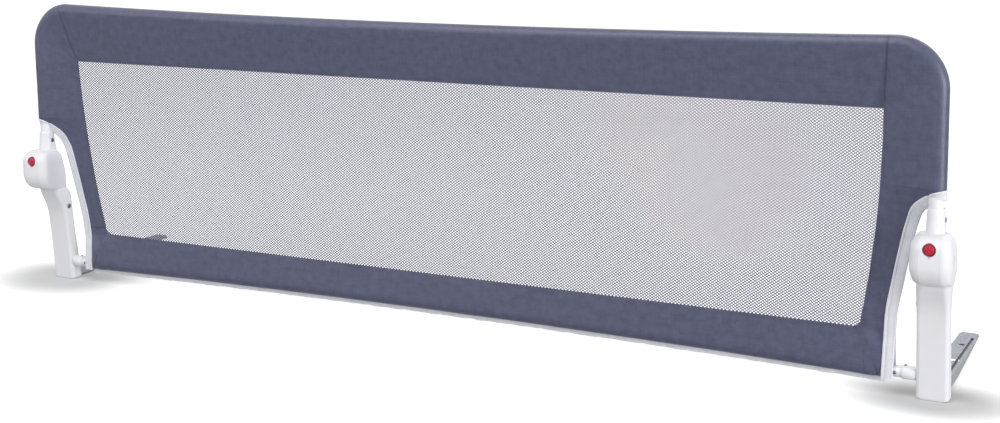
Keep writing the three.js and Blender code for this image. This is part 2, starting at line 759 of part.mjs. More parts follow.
// The cover's two layers part round the tubes and meet at the window's edge.
function coverHalf(x, z) {
  const thin = windowLayers / 2;
  const inFromSide = Math.max(0, tubeX - Math.abs(x));
  const fade = (share) => 1 - Math.min(1, Math.max(0, share));
  const fromTop = (topAxis - z) / (topAxis - windowTop);
  const fromBottom = (z - bottomTubeHeight) / (windowBottom - bottomTubeHeight);
  const held = Math.min(1, Math.max(0, (z - cutoutTop + cutoutShoulder) / cutoutShoulder));
  const edgeHalf = THREE.MathUtils.lerp(bindingHalf, sleeveRadius, held);
  return Math.max(
    THREE.MathUtils.lerp(thin, sleeveRadius, fade(fromTop)),
    THREE.MathUtils.lerp(thin, edgeHalf, fade(inFromSide / windowInsetTop)),
    THREE.MathUtils.lerp(thin, hemRadius, fade(fromBottom)),
  );
}

// Beside the upright tubes the cover leaves the leaning plane and comes forward to the tube.
function coverMiddle(x, z) {
  const held = Math.min(1, Math.max(0, (z - cutoutTop + cutoutShoulder) / cutoutShoulder));
  const inFromSide = Math.min(1, Math.max(0, (tubeX - Math.abs(x)) / windowInsetTop));
  return leanAt(z) * THREE.MathUtils.lerp(1, inFromSide, held);
}

function spread(stops, steps) {
  const values = [];
  for (let k = 0; k < stops.length - 1; k += 1) {
    for (let step = 0; step < steps[k]; step += 1) {
      values.push(THREE.MathUtils.lerp(stops[k], stops[k + 1], step / steps[k]));
    }
  }
  return [...values, stops[stops.length - 1]];
}

function coverCloth() {
  const windowX = tubeX - windowInsetTop;
  const xs = spread([-tubeX, -windowX, windowX, tubeX], [4, 12, 4]);
  const low = bottomTubeHeight - hemRadius - hemTapeDrop;
  const heights = [low, bottomTubeHeight, windowBottom, cutoutTop - cutoutShoulder, cutoutTop, windowTop, topAxis];
  const zs = spread(heights, [1, 2, 3, 3, 2, 2]);
  const sheet = gridSolid(xs, zs, coverMiddle, coverHalf);
  const outline = frameOutline();
  const start = bottomTubeHeight;
  const left = cornerLine(-1, start, cornerTubeReach);
  const right = cornerLine(1, start, cornerTubeReach).reverse();
  const end = cornerX - cornerTubeReach;
  const middle = bowedLine(end, topAxis, 0, -1).slice(1, -1);
  const frameLine = [...left, ...middle, ...right];
  const hemLine = bowedLine(tubeX, bottomTubeHeight, bottomTubeSetback, 1);
  return sheet.intersect(outline)
    .add(sweep(frameLine, sleeveRadius))
    .add(sweep(hemLine, hemRadius))
    .subtract(sweep(lengthened(frameLine), sleeveRadius - clothThickness))
    .subtract(sweep(lengthened(hemLine), hemRadius - clothThickness));
}

function lengthened(points) {
  const first = points[0].clone().add(points[0].clone().sub(points[1]).setLength(overrun));
  const end = points.length - 1;
  const last = points[end].clone().add(points[end].clone().sub(points[end - 1]).setLength(overrun));
  return [first, ...points, last];
}

// The area inside the frame's centre line, with the hanging tape's lower edge at the bottom.
function frameOutline() {
  const left = cornerLine(-1, 0, cornerTubeReach);
  const right = cornerLine(1, 0, cornerTubeReach).reverse();
  const end = cornerX - cornerTubeReach;
  const tapeHeight = bottomTubeHeight - hemRadius - hemTapeDrop;
  const lower = bowedLine(tubeX, tapeHeight, 0, 1).reverse();
  const middle = bowedLine(end, topAxis, 0, -1).slice(1, -1);
  const points = [...left.slice(1), ...middle, ...right.slice(0, -1), ...lower];
  const shape = new THREE.Shape(points.map((point) => new THREE.Vector2(point.x, point.z)));
  return prism(shape, 'y', -railHeight, railHeight, 1);
}

// The strip under the hem's lowest line, where the white tape hangs.
function tapeStrip(margin) {
  const top = bottomTubeHeight - hemRadius - margin;
  const upper = bowedLine(tubeX, top, 0, 1);
  const shape = new THREE.Shape();
  shape.moveTo(-tubeX, -overrun);
  upper.forEach((point) => shape.lineTo(point.x, point.z));
  shape.lineTo(tubeX, -overrun);
  return prism(shape, 'y', -railHeight, railHeight, 1);
}

function above(height) {
  const half = railLength / 2 + overrun;
  return box(-half, half, -railHeight, railHeight, height, railHeight + overrun);
}

function below(height) {
  const half = railLength / 2 + overrun;
  return box(-half, half, -railHeight, railHeight, -overrun, height);
}

function addCover() {
  const cloth = coverCloth();
  const opening = prism(windowShape(0), 'y', -railHeight, railHeight, 1);
  const upperSide = above(splitHeight + seatGap / 2);
  const lowerSide = below(splitHeight - seatGap / 2);
  let dark = cloth.subtract(opening);
  for (const side of [-1, 1]) dark = dark.subtract(cutoutPrism(side, 0));
  addPiece('cover_upper', dark.intersect(upperSide), materials.cloth);
  addPiece('cover_lower', dark.intersect(lowerSide).subtract(tapeStrip(0)), materials.cloth);
  const bands = [-1, 1].map((side) => cutoutPrism(side, seatGap).subtract(cutoutPrism(side, bindingWidth)));
  addPiece('binding_upper_left', cloth.intersect(bands[0]).intersect(upperSide), materials.binding);
  addPiece('binding_upper_right', cloth.intersect(bands[1]).intersect(upperSide), materials.binding);
  let tape = cloth.intersect(tapeStrip(seatGap));
  for (const side of [-1, 1]) tape = tape.subtract(cutoutPrism(side, bindingWidth));
  const lowerBands = cloth.intersect(bands[0].add(bands[1])).intersect(lowerSide);
  addPiece('binding_lower', lowerBands.add(tape), materials.binding);
  addNets(upperSide, lowerSide);
}

// The window's net: a thin leaning sheet with staggered four-sided gaps.
function addNets(upperSide, lowerSide) {
  const shape = windowShape(seatGap);
  const halfWidth = netGapWidth / 2;
  const halfHeight = netGapHeight / 2;
  const limit = tubeX - windowInsetBottom - netBorder - halfWidth;
  const rows = Math.floor((windowTop - windowBottom) / netPitchZ);
  const columns = Math.floor(limit / netPitchX) + 1;
  const middle = (windowTop + windowBottom) / 2;
  for (let row = 0; row < rows; row += 1) {
    const z = middle + (row - (rows - 1) / 2) * netPitchZ;
    const nearSplit = Math.abs(z - splitHeight) < halfHeight + seatGap;
    const nearEdge = Math.min(windowTop - z, z - windowBottom) < halfHeight + netBorder;
    if (nearSplit || nearEdge) continue;
    for (let column = -columns; column <= columns; column += 1) {
      const x = (column + (row % 2) / 2) * netPitchX;
      if (Math.abs(x) > limit) continue;
      const hole = new THREE.Path();
      hole.moveTo(x - halfWidth, z);
      hole.lineTo(x, z - halfHeight);
      hole.lineTo(x + halfWidth, z);
      hole.lineTo(x, z + halfHeight);
      shape.holes.push(hole);
    }
  }
  const settings = { depth: netThickness, bevelEnabled: false, curveSegments: 1 };
  const geometry = new THREE.ExtrudeGeometry(shape, settings);
  geometry.applyMatrix4(new THREE.Matrix4().makeBasis(...prismBases.y));
  geometry.translate(0, netThickness / 2, 0);
  const places = geometry.attributes.position;
  for (let k = 0; k < places.count; k += 1) places.setY(k, places.getY(k) + leanAt(places.getZ(k)));
  const net = toSolid(geometry);
  addPiece('net_upper', net.intersect(upperSide), materials.net);
  addPiece('net_lower', net.intersect(lowerSide), materials.net);
}

const sides = [['left', -1], ['right', 1]];
for (const [label, side] of sides) {
  addPiece(`leg_casing_${label}`, legCasing(side), materials.plastic);
  addPiece(`leg_back_${label}`, legBackPlate(side), materials.plastic);
  addPiece(`leg_screw_${label}`, legScrew(side), materials.screw);
  addPiece(`bed_arm_${label}`, bedArm(side), materials.zinc);
  addPiece(`pivot_pin_${label}`, pivotPin(side), materials.screw);
  addPiece(`knuckle_${label}`, knuckle(side), materials.plastic);
  addPiece(`neck_bolt_${label}`, neckBolt(side), materials.screw);
  addPiece(`button_${label}`, button(side), materials.button);
  addPiece(`corner_tube_${label}`, cornerTube(side), materials.steel);
  addPiece(`ferrule_${label}`, ferrule(side), materials.plastic);
  addPiece(`ferrule_screw_${label}`, ferruleScrew(side), materials.screw);
  addPiece(`cover_stud_${label}`, coverStud(side), materials.screw);
}
addPiece('top_tube', topTube(), materials.steel);
addPiece('bottom_tube', bottomTube(), materials.steel);
addCover();

export default part;
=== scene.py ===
# %% [markdown]
# # A folding bed guard rail
# A guard rail keeps a sleeper from rolling out of bed. A bent steel tube is dressed in a cloth cover with a net
# window. It stands on two moulded legs, and each leg has a round head in which the frame swings down when the
# red buttons are pressed. This lesson dresses the fixed engineering model: every piece is built exactly where
# the model has it, so the first cell loads that model, and any part's box can be read from it.

# %% Load the fixed frame
import math
from collections import namedtuple

import bmesh
import bpy
import numpy as np
from mathutils import Matrix, Vector, noise


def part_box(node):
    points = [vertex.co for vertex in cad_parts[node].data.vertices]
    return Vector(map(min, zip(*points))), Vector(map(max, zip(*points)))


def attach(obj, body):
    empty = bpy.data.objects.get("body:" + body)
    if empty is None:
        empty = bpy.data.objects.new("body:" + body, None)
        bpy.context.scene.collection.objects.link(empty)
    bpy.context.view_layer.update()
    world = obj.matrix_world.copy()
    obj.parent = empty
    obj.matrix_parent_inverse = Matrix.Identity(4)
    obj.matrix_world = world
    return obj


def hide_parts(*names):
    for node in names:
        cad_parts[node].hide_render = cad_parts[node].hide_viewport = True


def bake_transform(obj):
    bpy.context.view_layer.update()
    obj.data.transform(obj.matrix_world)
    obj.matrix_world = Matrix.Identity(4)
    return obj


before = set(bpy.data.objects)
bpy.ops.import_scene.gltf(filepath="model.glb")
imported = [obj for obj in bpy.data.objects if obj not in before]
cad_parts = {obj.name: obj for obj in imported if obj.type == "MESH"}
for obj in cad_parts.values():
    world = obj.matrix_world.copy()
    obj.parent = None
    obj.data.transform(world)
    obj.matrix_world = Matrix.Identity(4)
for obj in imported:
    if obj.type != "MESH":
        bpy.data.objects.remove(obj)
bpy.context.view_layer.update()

# %% [markdown]
# ## Sizes
# The pieces are drawn in millimetres, with y counted from the frame's upright tubes, because those are the
# numbers on a workshop drawing. One function turns them into the scene's metres. The place of the tubes along y
# is read from the model rather than typed.

# %% Sizes of the rail in millimetres
MM = 0.001
TUBE_X, TUBE_RADIUS, TUBE_WALL = 649.3, 8.5, 1.2
SLEEVE, HEM, CLOTH = 10.7, 9.0, 0.8
TOP_Z = 409.3
CORNER = 49.0
CORNER_X = TUBE_X - CORNER
BOW = 7.3
LOW_RADIUS, LOW_Y, LOW_Z = 6.8, 27.0, 28.0
WINDOW_TOP, WINDOW_LOW, WINDOW_ROUND = 336.0, 76.0, 12.0
PIVOT_Y, PIVOT_Z = -10.0, 173.0
BODY_LEGS, BODY_FRAME = "legs", "frame"
SIDES = (("left", -1.0), ("right", 1.0))

low_corner, high_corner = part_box("bottom_tube")
SHIFT_Y = (low_corner.y + high_corner.y) / 2 - LOW_Y * MM
scene = bpy.context.scene


def to_row(points):
    """Millimetres on the drawing to metres in the scene."""
    rows = np.asarray(points, float).reshape(-1, 3) * MM
    rows[:, 1] += SHIFT_Y
    return rows


def bow(x):
    """How far the stretched cover pulls a long tube off its straight line at x."""
    return BOW * (1 - min(1.0, (x / CORNER_X) ** 2))


def mix(a, b, t):
    return a + (b - a) * t


def clamp(t):
    return min(1.0, max(0.0, t))


def wander(x, y, z):
    """Smooth noise about zero, which is the same at a place in every run."""
    return noise.noise(Vector((x, y, z)))


print("tubes stand at y =", round(SHIFT_Y, 5))

# %% [markdown]
# ## Meshes from points
# Most pieces here are skins over rows of points: a tube is a row of rings, a moulded leg is a stack of rounded
# rectangles, and cloth is a grid. One helper makes the object at the origin with its place in its mesh. Another
# one bakes modifiers into a plain mesh, and a third marks the edges that should stay crisp.

# %% Helpers that make and finish meshes
def make_object(name, points, faces=(), material=None, edges=(), in_metres=False):
    mesh = bpy.data.meshes.new(name)
    rows = np.asarray(points, float).reshape(-1, 3) if in_metres else to_row(points)
    mesh.from_pydata(rows.tolist(), list(edges), list(faces))
    mesh.update()
    obj = bpy.data.objects.new(name, mesh)
    scene.collection.objects.link(obj)
    if material:
        mesh.materials.append(material)
    return obj


def bake_modifiers(obj):
    """Turns what the modifiers make into the object's own plain mesh."""
    graph = bpy.context.evaluated_depsgraph_get()
    graph.update()
    old, made = obj.data, bpy.data.meshes.new_from_object(obj.evaluated_get(graph))
    obj.modifiers.clear()
    obj.data, made.name = made, obj.name
    if not old.users:
        bpy.data.meshes.remove(old)
    return obj


def modified(obj, kind, **settings):
    modifier = obj.modifiers.new(kind.lower(), kind)
    for key, value in settings.items():
        setattr(modifier, key, value)
    return bake_modifiers(obj)


def edited(obj, edit):
    bm = bmesh.new()
    bm.from_mesh(obj.data)
    edit(bm)
    bm.to_mesh(obj.data)
    bm.free()
    return obj


def smooth_shading(obj, crisp_degrees=38.0):
    def shade(bm):
        for face in bm.faces:
            face.smooth = True
        for edge in bm.edges:
            if len(edge.link_faces) == 2:
                edge.smooth = edge.calc_face_angle(0.0) < math.radians(crisp_degrees)
    return edited(obj, shade)


def outward(obj, join=0.00001):
    """Joins doubles, drops loose points and turns the faces outwards."""
    def mend(bm):
        bmesh.ops.remove_doubles(bm, verts=bm.verts, dist=join)
        bmesh.ops.delete(bm, geom=[v for v in bm.verts if not v.link_faces], context="VERTS")
        bmesh.ops.recalc_face_normals(bm, faces=bm.faces)
    return edited(obj, mend)


def carve(obj, cutter, operation="DIFFERENCE"):
    """Cuts, joins or intersects with another closed mesh, which is then thrown away."""
    modified(obj, "BOOLEAN", object=cutter, operation=operation, solver="EXACT")
    bpy.data.objects.remove(cutter)
    return obj


def soften(obj, width, degrees=34.0):
    """Rounds the crisp edges, as every moulded or pressed edge is, and keeps broad faces flat."""
    modified(obj, "BEVEL", width=width * MM, segments=2, limit_method="ANGLE",
             angle_limit=math.radians(degrees), use_clamp_overlap=True)
    return modified(smooth_shading(obj), "WEIGHTED_NORMAL", keep_sharp=True)


def keep_values(obj, name, values, domain="POINT"):
    """Keeps a number or a vector for each point or face, for a finish or a node tree to read."""
    values = np.array(values, np.float32)
    kind, key = ("FLOAT_VECTOR", "vector") if values.ndim > 1 else ("FLOAT", "value")
    obj.data.attributes.new(name, kind, domain).data.foreach_set(key, values.ravel())


def circle(sides):
    """The cosine and sine of each direction once round."""
    return [(math.cos(a), math.sin(a)) for a in np.arange(sides) * 2 * math.pi / sides]


def stack(rings, closed=True):
    """Points and faces of a skin over rings that have the same number of points."""
    count = len(rings[0])
    points = [point for ring in rings for point in ring]
    faces = []
    for level in range(len(rings) - 1):
        for k in range(count):
            a, b = level * count + k, level * count + (k + 1) % count
            faces.append((a, b, b + count, a + count))
    if closed:
        last = (len(rings) - 1) * count
        faces += [tuple(reversed(range(count))), tuple(range(last, last + count))]
    return points, faces


def extruded(name, axis, outline, start, end, material=None):
    """A closed prism along an axis; its outline holds the two other coordinates in order."""
    rings = [np.insert(np.array(outline, float), "xyz".index(axis), place, axis=1) for place in (start, end)]
    return outward(make_object(name, *stack(rings), material))


def cylinder(name, axis, centre, radius, start, end, sides=48):
    return extruded(name, axis, [(centre[0] + radius * c, centre[1] + radius * s) for c, s in circle(sides)],
                    start, end)


def block(name, low, high):
    (x0, y0, z0), (x1, y1, z1) = low, high
    return extruded(name, "z", [(x0, y0), (x1, y0), (x1, y1), (x0, y1)], z0, z1)


def swept_tube(name, path, radius, sides=40):
    """A hollow round tube along a path that keeps to one plane of y, with open ends that show its wall."""
    across = Vector((0, 1, 0))
    loop = []
    for reach, order in ((radius, 1), (radius - TUBE_WALL, -1)):
        row = []
        for k, point in enumerate(path):
            before, after = path[max(k - 1, 0)], path[min(k + 1, len(path) - 1)]
            normal = across.cross((Vector(after) - Vector(before)).normalized())
            row.append([tuple(Vector(point) + reach * (c * normal + s * across)) for c, s in circle(sides)])
        loop += row[::order]
    return smooth_shading(outward(make_object(name, *stack(loop + loop[:1], closed=False), white_paint)))


def lathe(profile, sides=48):
    """Rings about the z axis for a profile of radius and height."""
    return [[(radius * c, radius * s, height) for c, s in circle(sides)] for radius, height in profile]


def turned(name, profile, place, direction, material, closed=True):
    """Turns a profile about a direction at a place."""
    points, faces = stack(lathe(profile), closed)
    turn = Vector((0, 0, 1)).rotation_difference(Vector(direction)).to_matrix()
    moved = [tuple(turn @ Vector(point) + Vector(place)) for point in points]
    return smooth_shading(outward(make_object(name, moved, faces, material)))


def carry(obj, body, slot, *nodes):
    """The piece rides on a body and stands for nodes of the model, which it hides; the slot is not used."""
    if body:
        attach(obj, body)
    if nodes:
        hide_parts(*nodes)
    return obj


print("helpers are ready")

# %% [markdown]
# ## Finishes
# Each finish is a small node tree on Object coordinates, so it stays put in every pose. A moulded plastic has a
# very fine grain and soft blotches of gloss. Powder-coated tube has orange peel. Galvanised sheet has crystals
# of different grey. A helper keeps the trees short: it adds a node, fills its inputs and links it.

# %% A helper for node trees
class Tree:
    """Adds nodes to a material or group, and fills or links their inputs."""

    def __init__(self, tree):
        self.tree = tree

    def feed(self, node, inputs):
        for key, value in inputs.items():
            if isinstance(value, bpy.types.NodeSocket):
                self.tree.links.new(value, node.inputs[key])
            else:
                node.inputs[key].default_value = value

    def add(self, kind, inputs=None, **settings):
        node = self.tree.nodes.new(kind)
        for key, value in settings.items():
            setattr(node, key, value)
        self.feed(node, inputs or {})
        return node

    def place(self):
        return self.add("ShaderNodeTexCoord").outputs["Object"]

    def value(self, name):
        return self.add("ShaderNodeAttribute", attribute_name=name).outputs["Fac"]

    def math(self, operation, *values, **settings):
        return self.add("ShaderNodeMath", dict(enumerate(values)), operation=operation, **settings).outputs[0]

    def noise(self, place, scale, detail, roughness=0.5):
        return self.add("ShaderNodeTexNoise", {"Vector": place, "Scale": scale, "Detail": detail,
                                               "Roughness": roughness}).outputs["Fac"]

    def span(self, value, low=0.0, high=1.0, to=(0.0, 1.0), **settings):
        """A value from one span moved to another."""
        return self.add("ShaderNodeMapRange", {"Value": value, "From Min": low, "From Max": high,
                                               "To Min": to[0], "To Max": to[1]}, **settings).outputs["Result"]

    def mixed(self, share, first, second):
        """Two colours mixed by a share of the second."""
        return self.add("ShaderNodeMix", {"Factor": share, "A": first, "B": second},
                        data_type="RGBA").outputs["Result"]

    def bump(self, height, strength, depth):
        return self.add("ShaderNodeBump", {"Height": height, "Strength": strength,
                                           "Distance": depth}).outputs["Normal"]


def linear(hex_colour):
    """A screen colour such as 5a5f78 as the linear numbers that shaders use."""
    parts = [int(hex_colour[k:k + 2], 16) / 255 for k in (0, 2, 4)]
    return (*(p / 12.92 if p <= 0.04045 else ((p + 0.055) / 1.055) ** 2.4 for p in parts), 1.0)


def new_finish(name, colour, roughness, metallic=0.0):
    material = bpy.data.materials.new(name)
    material.use_nodes = True
    tree, shader = Tree(material.node_tree), material.node_tree.nodes["Principled BSDF"]
    tree.feed(shader, {"Base Color": colour, "Roughness": roughness, "Metallic": metallic})
    return material, tree, shader


GLOSS_SPREAD = 0.08


def grainy(name, colour, other, roughness, grain, depth, patch, metallic=0.0):
    """A finish with fine grain in its surface, and broad patches that differ a little in colour and gloss."""
    material, tree, shader = new_finish(name, linear(colour), roughness, metallic)
    place = tree.place()
    fine, broad = tree.noise(place, grain, 3.0), tree.noise(place, patch, 4.0, 0.6)
    tree.feed(shader, {
        "Base Color": tree.mixed(broad, linear(colour), linear(other)),
        "Roughness": tree.span(broad, to=(roughness - GLOSS_SPREAD, roughness + GLOSS_SPREAD)),
        "Normal": tree.bump(fine, 0.35, depth)})
    return material, tree, shader


white_plastic, tree, shader = grainy("moulded_white_plastic", "e9e9ed", "e2e2e8", 0.42, 2200.0, 0.00005, 30.0)
tree.feed(shader, {"Subsurface Weight": 0.06, "Subsurface Radius": (0.004, 0.004, 0.004)})
red_plastic, tree, shader = grainy("red_button_plastic", "c31b36", "af152d", 0.36, 1800.0, 0.00004, 60.0)
# The button's skirt is given a darker red as painted shade from its well, so it is darker than the face.
button_face = shader.inputs["Base Color"].links[0].from_socket
tree.feed(shader, {"Base Color": tree.mixed(tree.value("skirt"), button_face, linear("8f1830"))})
white_paint, screw_steel, net_thread, stitch_dark, stitch_white = (grainy(*row)[0] for row in (
    ("powder_coated_tube", "ececf0", "e5e5ea", 0.33, 700.0, 0.00008, 18.0),
    ("zinc_plated_screw", "8d8f94", "6c6e73", 0.32, 900.0, 0.00006, 200.0, 0.9),
    ("net_thread", "4c4d74", "424366", 0.7, 1500.0, 0.00003, 25.0),
    ("slate_sewing_thread", "565b72", "44485c", 0.7, 2500.0, 0.00003, 40.0),
    ("white_sewing_thread", "d9dbe2", "c4c6ce", 0.7, 2500.0, 0.00003, 40.0)))
print("plain finishes:", [m.name for m in (white_plastic, white_paint, red_plastic, screw_steel)])

# %% [markdown]
# Galvanised strip shows zinc crystals a few millimetres across, each of its own grey, and fine marks from the
# rolling. A cell texture gives the crystals, and a noise that is stretched along the arm gives the marks. On
# the raised bead and the turned-down sides a painted highlight lightens it; painted shade darkens the groove.

# %% Galvanised strip for the bed arms
zinc_sheet, tree, shader = new_finish("galvanised_strip", linear("a4a8b0"), 0.38, metallic=0.85)
place = tree.place()
crystals = tree.add("ShaderNodeTexVoronoi", {"Vector": place, "Scale": 420.0, "Randomness": 1.0})
shade = tree.add("ShaderNodeValToRGB", {"Fac": crystals.outputs["Color"]})
for stop, colour in zip(shade.color_ramp.elements, ("7b8089", "a3a7b0")):
    stop.color = linear(colour)
stretched = tree.add("ShaderNodeMapping", {"Vector": place, "Scale": (900.0, 14.0, 900.0)})
marks = tree.noise(stretched.outputs["Vector"], 1.0, 2.0)
# A value on each face mixes in a pale tint as painted highlight on the bead and the sides, and a dark tint as
# painted shade in the groove.
painted_light_colour = shade.outputs["Color"]
for full, tint in ((1.0, "f2f3f8"), (-1.0, "2e3138")):
    painted_light_colour = tree.mixed(tree.span(tree.value("tone"), high=full), painted_light_colour, linear(tint))
tree.feed(shader, {"Base Color": painted_light_colour, "Roughness": tree.span(marks, to=(0.28, 0.5)),
                   "Normal": tree.bump(marks, 0.3, 0.00006)})
print("galvanised finish:", zinc_sheet.name)

# %% [markdown]
# The cover is a plain-woven polyester. Its threads are about a millimetre apart, and they run with the cloth, so
# the weave reads the cloth's own UV map, which holds millimetres. Two crossed waves make the over-and-under
# bump. Slightly thicker threads here and there, called slubs, come from noise stretched along each direction.

# %% Woven finishes
def woven(name, colour, dark, pitch, roughness, depth, contrast, sheen, blotch):
    material, tree, shader = new_finish(name, linear(colour), roughness)
    uv = tree.add("ShaderNodeUVMap", uv_map="cloth").outputs["UV"]
    apart = tree.add("ShaderNodeSeparateXYZ", {"Vector": uv})
    waves = [tree.math("ABSOLUTE", tree.math("SINE", tree.math(
        "MULTIPLY", apart.outputs[axis], math.pi / pitch))) for axis in "XY"]
    slubs = []
    for scale in ((0.02, 1.1, 1.0), (1.1, 0.02, 1.0)):
        run = tree.add("ShaderNodeMapping", {"Vector": uv, "Scale": scale})
        slubs.append(tree.noise(run.outputs["Vector"], 1.0, 2.0))
    lift = tree.span(tree.math("ADD", *slubs), 0.6, 1.4)
    height = tree.math("MULTIPLY_ADD", lift, 0.5, tree.math("MULTIPLY", *waves))
    shade = tree.span(height, 0.1, 1.4, (0.5 - contrast, 0.5 + contrast))
    clouds = tree.span(tree.noise(uv, 0.09, 3.0, 0.65), 0.3, 0.7, (-blotch, blotch))
    # The value darkens the colour along seams, and as painted shade at the cover's cut edge and in the tape's
    # grooves.
    less = tree.math("MULTIPLY_ADD", tree.value("seam"), -0.45, tree.math("ADD", shade, clouds), use_clamp=True)
    tree.feed(shader, {"Base Color": tree.mixed(less, linear(dark), linear(colour)),
                       "Normal": tree.bump(height, 0.5, depth), "Sheen Weight": sheen, "Sheen Roughness": 0.4})
    return material


cover_cloth = woven("woven_slate_cover", "646882", "363a52", 0.9, 0.34, 0.00012, 0.36, 0.05, 0.16)
white_tape = woven("woven_white_tape", "f4f5f8", "c9ccd6", 0.7, 0.75, 0.0002, 0.3, 0.1, 0.12)
print("woven finishes:", cover_cloth.name, white_tape.name)

# %% [markdown]
# ## The moulded legs
# A leg is one injection moulding. Seen from the side it is a slim shin that swells into a round head with a nose
# over the shin. The shape is a stack of rounded rectangles: a table gives the height, front, back, half width to
# the outer and inner side and corner radius at a few places, and a monotone curve through the table fills in the
# rest, so that nothing overshoots. The same stack, cut by a round drum, gives the knuckle that turns.

# %% The leg's side view as a table, and its smooth skin
HEAD_FRONT, HEAD_BACK, HEAD_HALF, HEAD_TOP = -35.0, 18.0, 24.0, 202.0
LEG_HALF, LEG_INSET, LEG_WALL = 18.5, 3.0, 2.4
OUTSIDE, INSIDE = LEG_HALF - LEG_INSET, LEG_HALF + LEG_INSET
SHIN_TOP, SHIN_FRONT, SHIN_BACK = 101.0, 10.0, 28.0
NOSE_Z, NOSE_ROUND, NOSE_ROOT = 143.0, 25.0, -5.0
TOP_ROUND = 16.0
KNUCKLE_HALF, KNUCKLE_RADIUS = 12.0, 33.0
GAP, SLIT = 0.3, 0.12


def head_half(z):
    """The head bulges most at its pivot and draws in above and below it."""
    return HEAD_HALF - 0.4 - 3.0 * ((z - PIVOT_Z) / 30) ** 2


def leg_rows():
    """Height, front, back, outer half, inner half and corner at each place from the sole to the crown."""
    rows = [[0, 21.5, 38, OUTSIDE - 3, INSIDE - 3, 5], [0.9, 20.6, 39.9, OUTSIDE - 1, INSIDE - 1, 5],
            [3, 20, 41, OUTSIDE, INSIDE, 5], [SHIN_TOP, SHIN_FRONT, SHIN_BACK, OUTSIDE, INSIDE, 5]]
    back_at_nose, at_nose = PIVOT_Y + KNUCKLE_RADIUS, head_half(NOSE_Z)
    for high, reach, swell in ((0.36, 0.3, 0.08), (0.62, 0.64, 0.25), (0.8, 0.88, 0.45), (0.93, 1.0, 0.65)):
        rows.append([mix(SHIN_TOP, NOSE_Z, high), mix(SHIN_FRONT, NOSE_ROOT, reach),
                     mix(SHIN_BACK, back_at_nose, high ** 2), mix(OUTSIDE, at_nose, swell),
                     mix(INSIDE, at_nose, swell), mix(5, 12, swell)])
    for share in (1, 0.67, 0.33, 0):
        angle = share * math.pi / 2
        z = NOSE_Z + NOSE_ROUND * (1 - math.sin(angle))
        half = head_half(z) - share * 0.8
        rows.append([z, HEAD_FRONT + NOSE_ROUND * (1 - math.cos(angle)), mix(HEAD_BACK, back_at_nose, share),
                     half, half, 12])
    for share in (0, 0.25, 0.5, 0.75, 0.92, 1):
        angle = share * math.pi / 2
        turned_in = 1 - math.cos(angle)
        z = HEAD_TOP - TOP_ROUND * (1 - math.sin(angle))
        half = head_half(z) - turned_in * 5
        rows.append([z, HEAD_FRONT + TOP_ROUND * turned_in, HEAD_BACK - 4.5 - turned_in * 11, half, half,
                     12 - 2.6 * turned_in])
    return np.array(rows, float)


def monotone(rows, steps=4):
    """A smooth curve through every row that never overshoots its neighbours."""
    slopes = np.diff(rows, axis=0)
    tangents = np.zeros_like(rows)
    product, total = slopes[:-1] * slopes[1:], slopes[:-1] + slopes[1:]
    tangents[1:-1] = np.where(product > 0, 2 * product / np.where(product > 0, total, 1.0), 0.0)
    tangents[0], tangents[-1] = slopes[0], slopes[-1]
    out = []
    for k in range(len(rows) - 1):
        for t in np.arange(steps) / steps:
            t2, t3 = t * t, t ** 3
            out.append((2 * t3 - 3 * t2 + 1) * rows[k] + (t3 - 2 * t2 + t) * tangents[k]
                       + (3 * t2 - 2 * t3) * rows[k + 1] + (t3 - t2) * tangents[k + 1])
    return np.array(out + [rows[-1]])


def level_ring(low_x, high_x, low_y, high_y, corner, z, steps=7):
    """A level rectangle with round corners."""
    centres = ((high_x - corner, high_y - corner), (low_x + corner, high_y - corner),
               (low_x + corner, low_y + corner), (high_x - corner, low_y + corner))
    turns = [(x, y, (quarter + k / steps) * math.pi / 2) for quarter, (x, y) in enumerate(centres)
             for k in range(steps + 1)]
    return [(x + corner * math.cos(a), y + corner * math.sin(a), z) for x, y, a in turns]


def leg_skin(name, side, shift=0.0, material=None):
    rings = []
    for z, front, back, outer, inner, corner in monotone(leg_rows()):
        x0, x1 = sorted((side * (TUBE_X + outer), side * (TUBE_X - inner)))
        rings.append(level_ring(x0, x1, front + shift, back + shift, corner, z))
    return outward(make_object(name, *stack(rings), material))


print("rings in a leg's skin:", len(monotone(leg_rows())))

# %% [markdown]
# The casing is that skin, hollow from behind, with a slot for the knuckle. Under the drum the slot runs on as a
# shallow recess, so the neck has room when the frame hangs down. All of that is carved with closed cutters, and
# the crisp edges are rounded at the end, as a mould's are.

# %% Casings of both legs
MOULD_ROUND = 0.28
RECESS_LOW, RECESS_BACK, TUBE_HOLE_DEPTH = 115.0, -6.7, 7.0
PIN_SEAT_RADIUS, PIN_SEAT_DEPTH = 6.3, 2.3
# Cutters stick out this far past the surface they cut, and reach this far to the front and back.
PAST, CLEAR = 9.0, 60.0


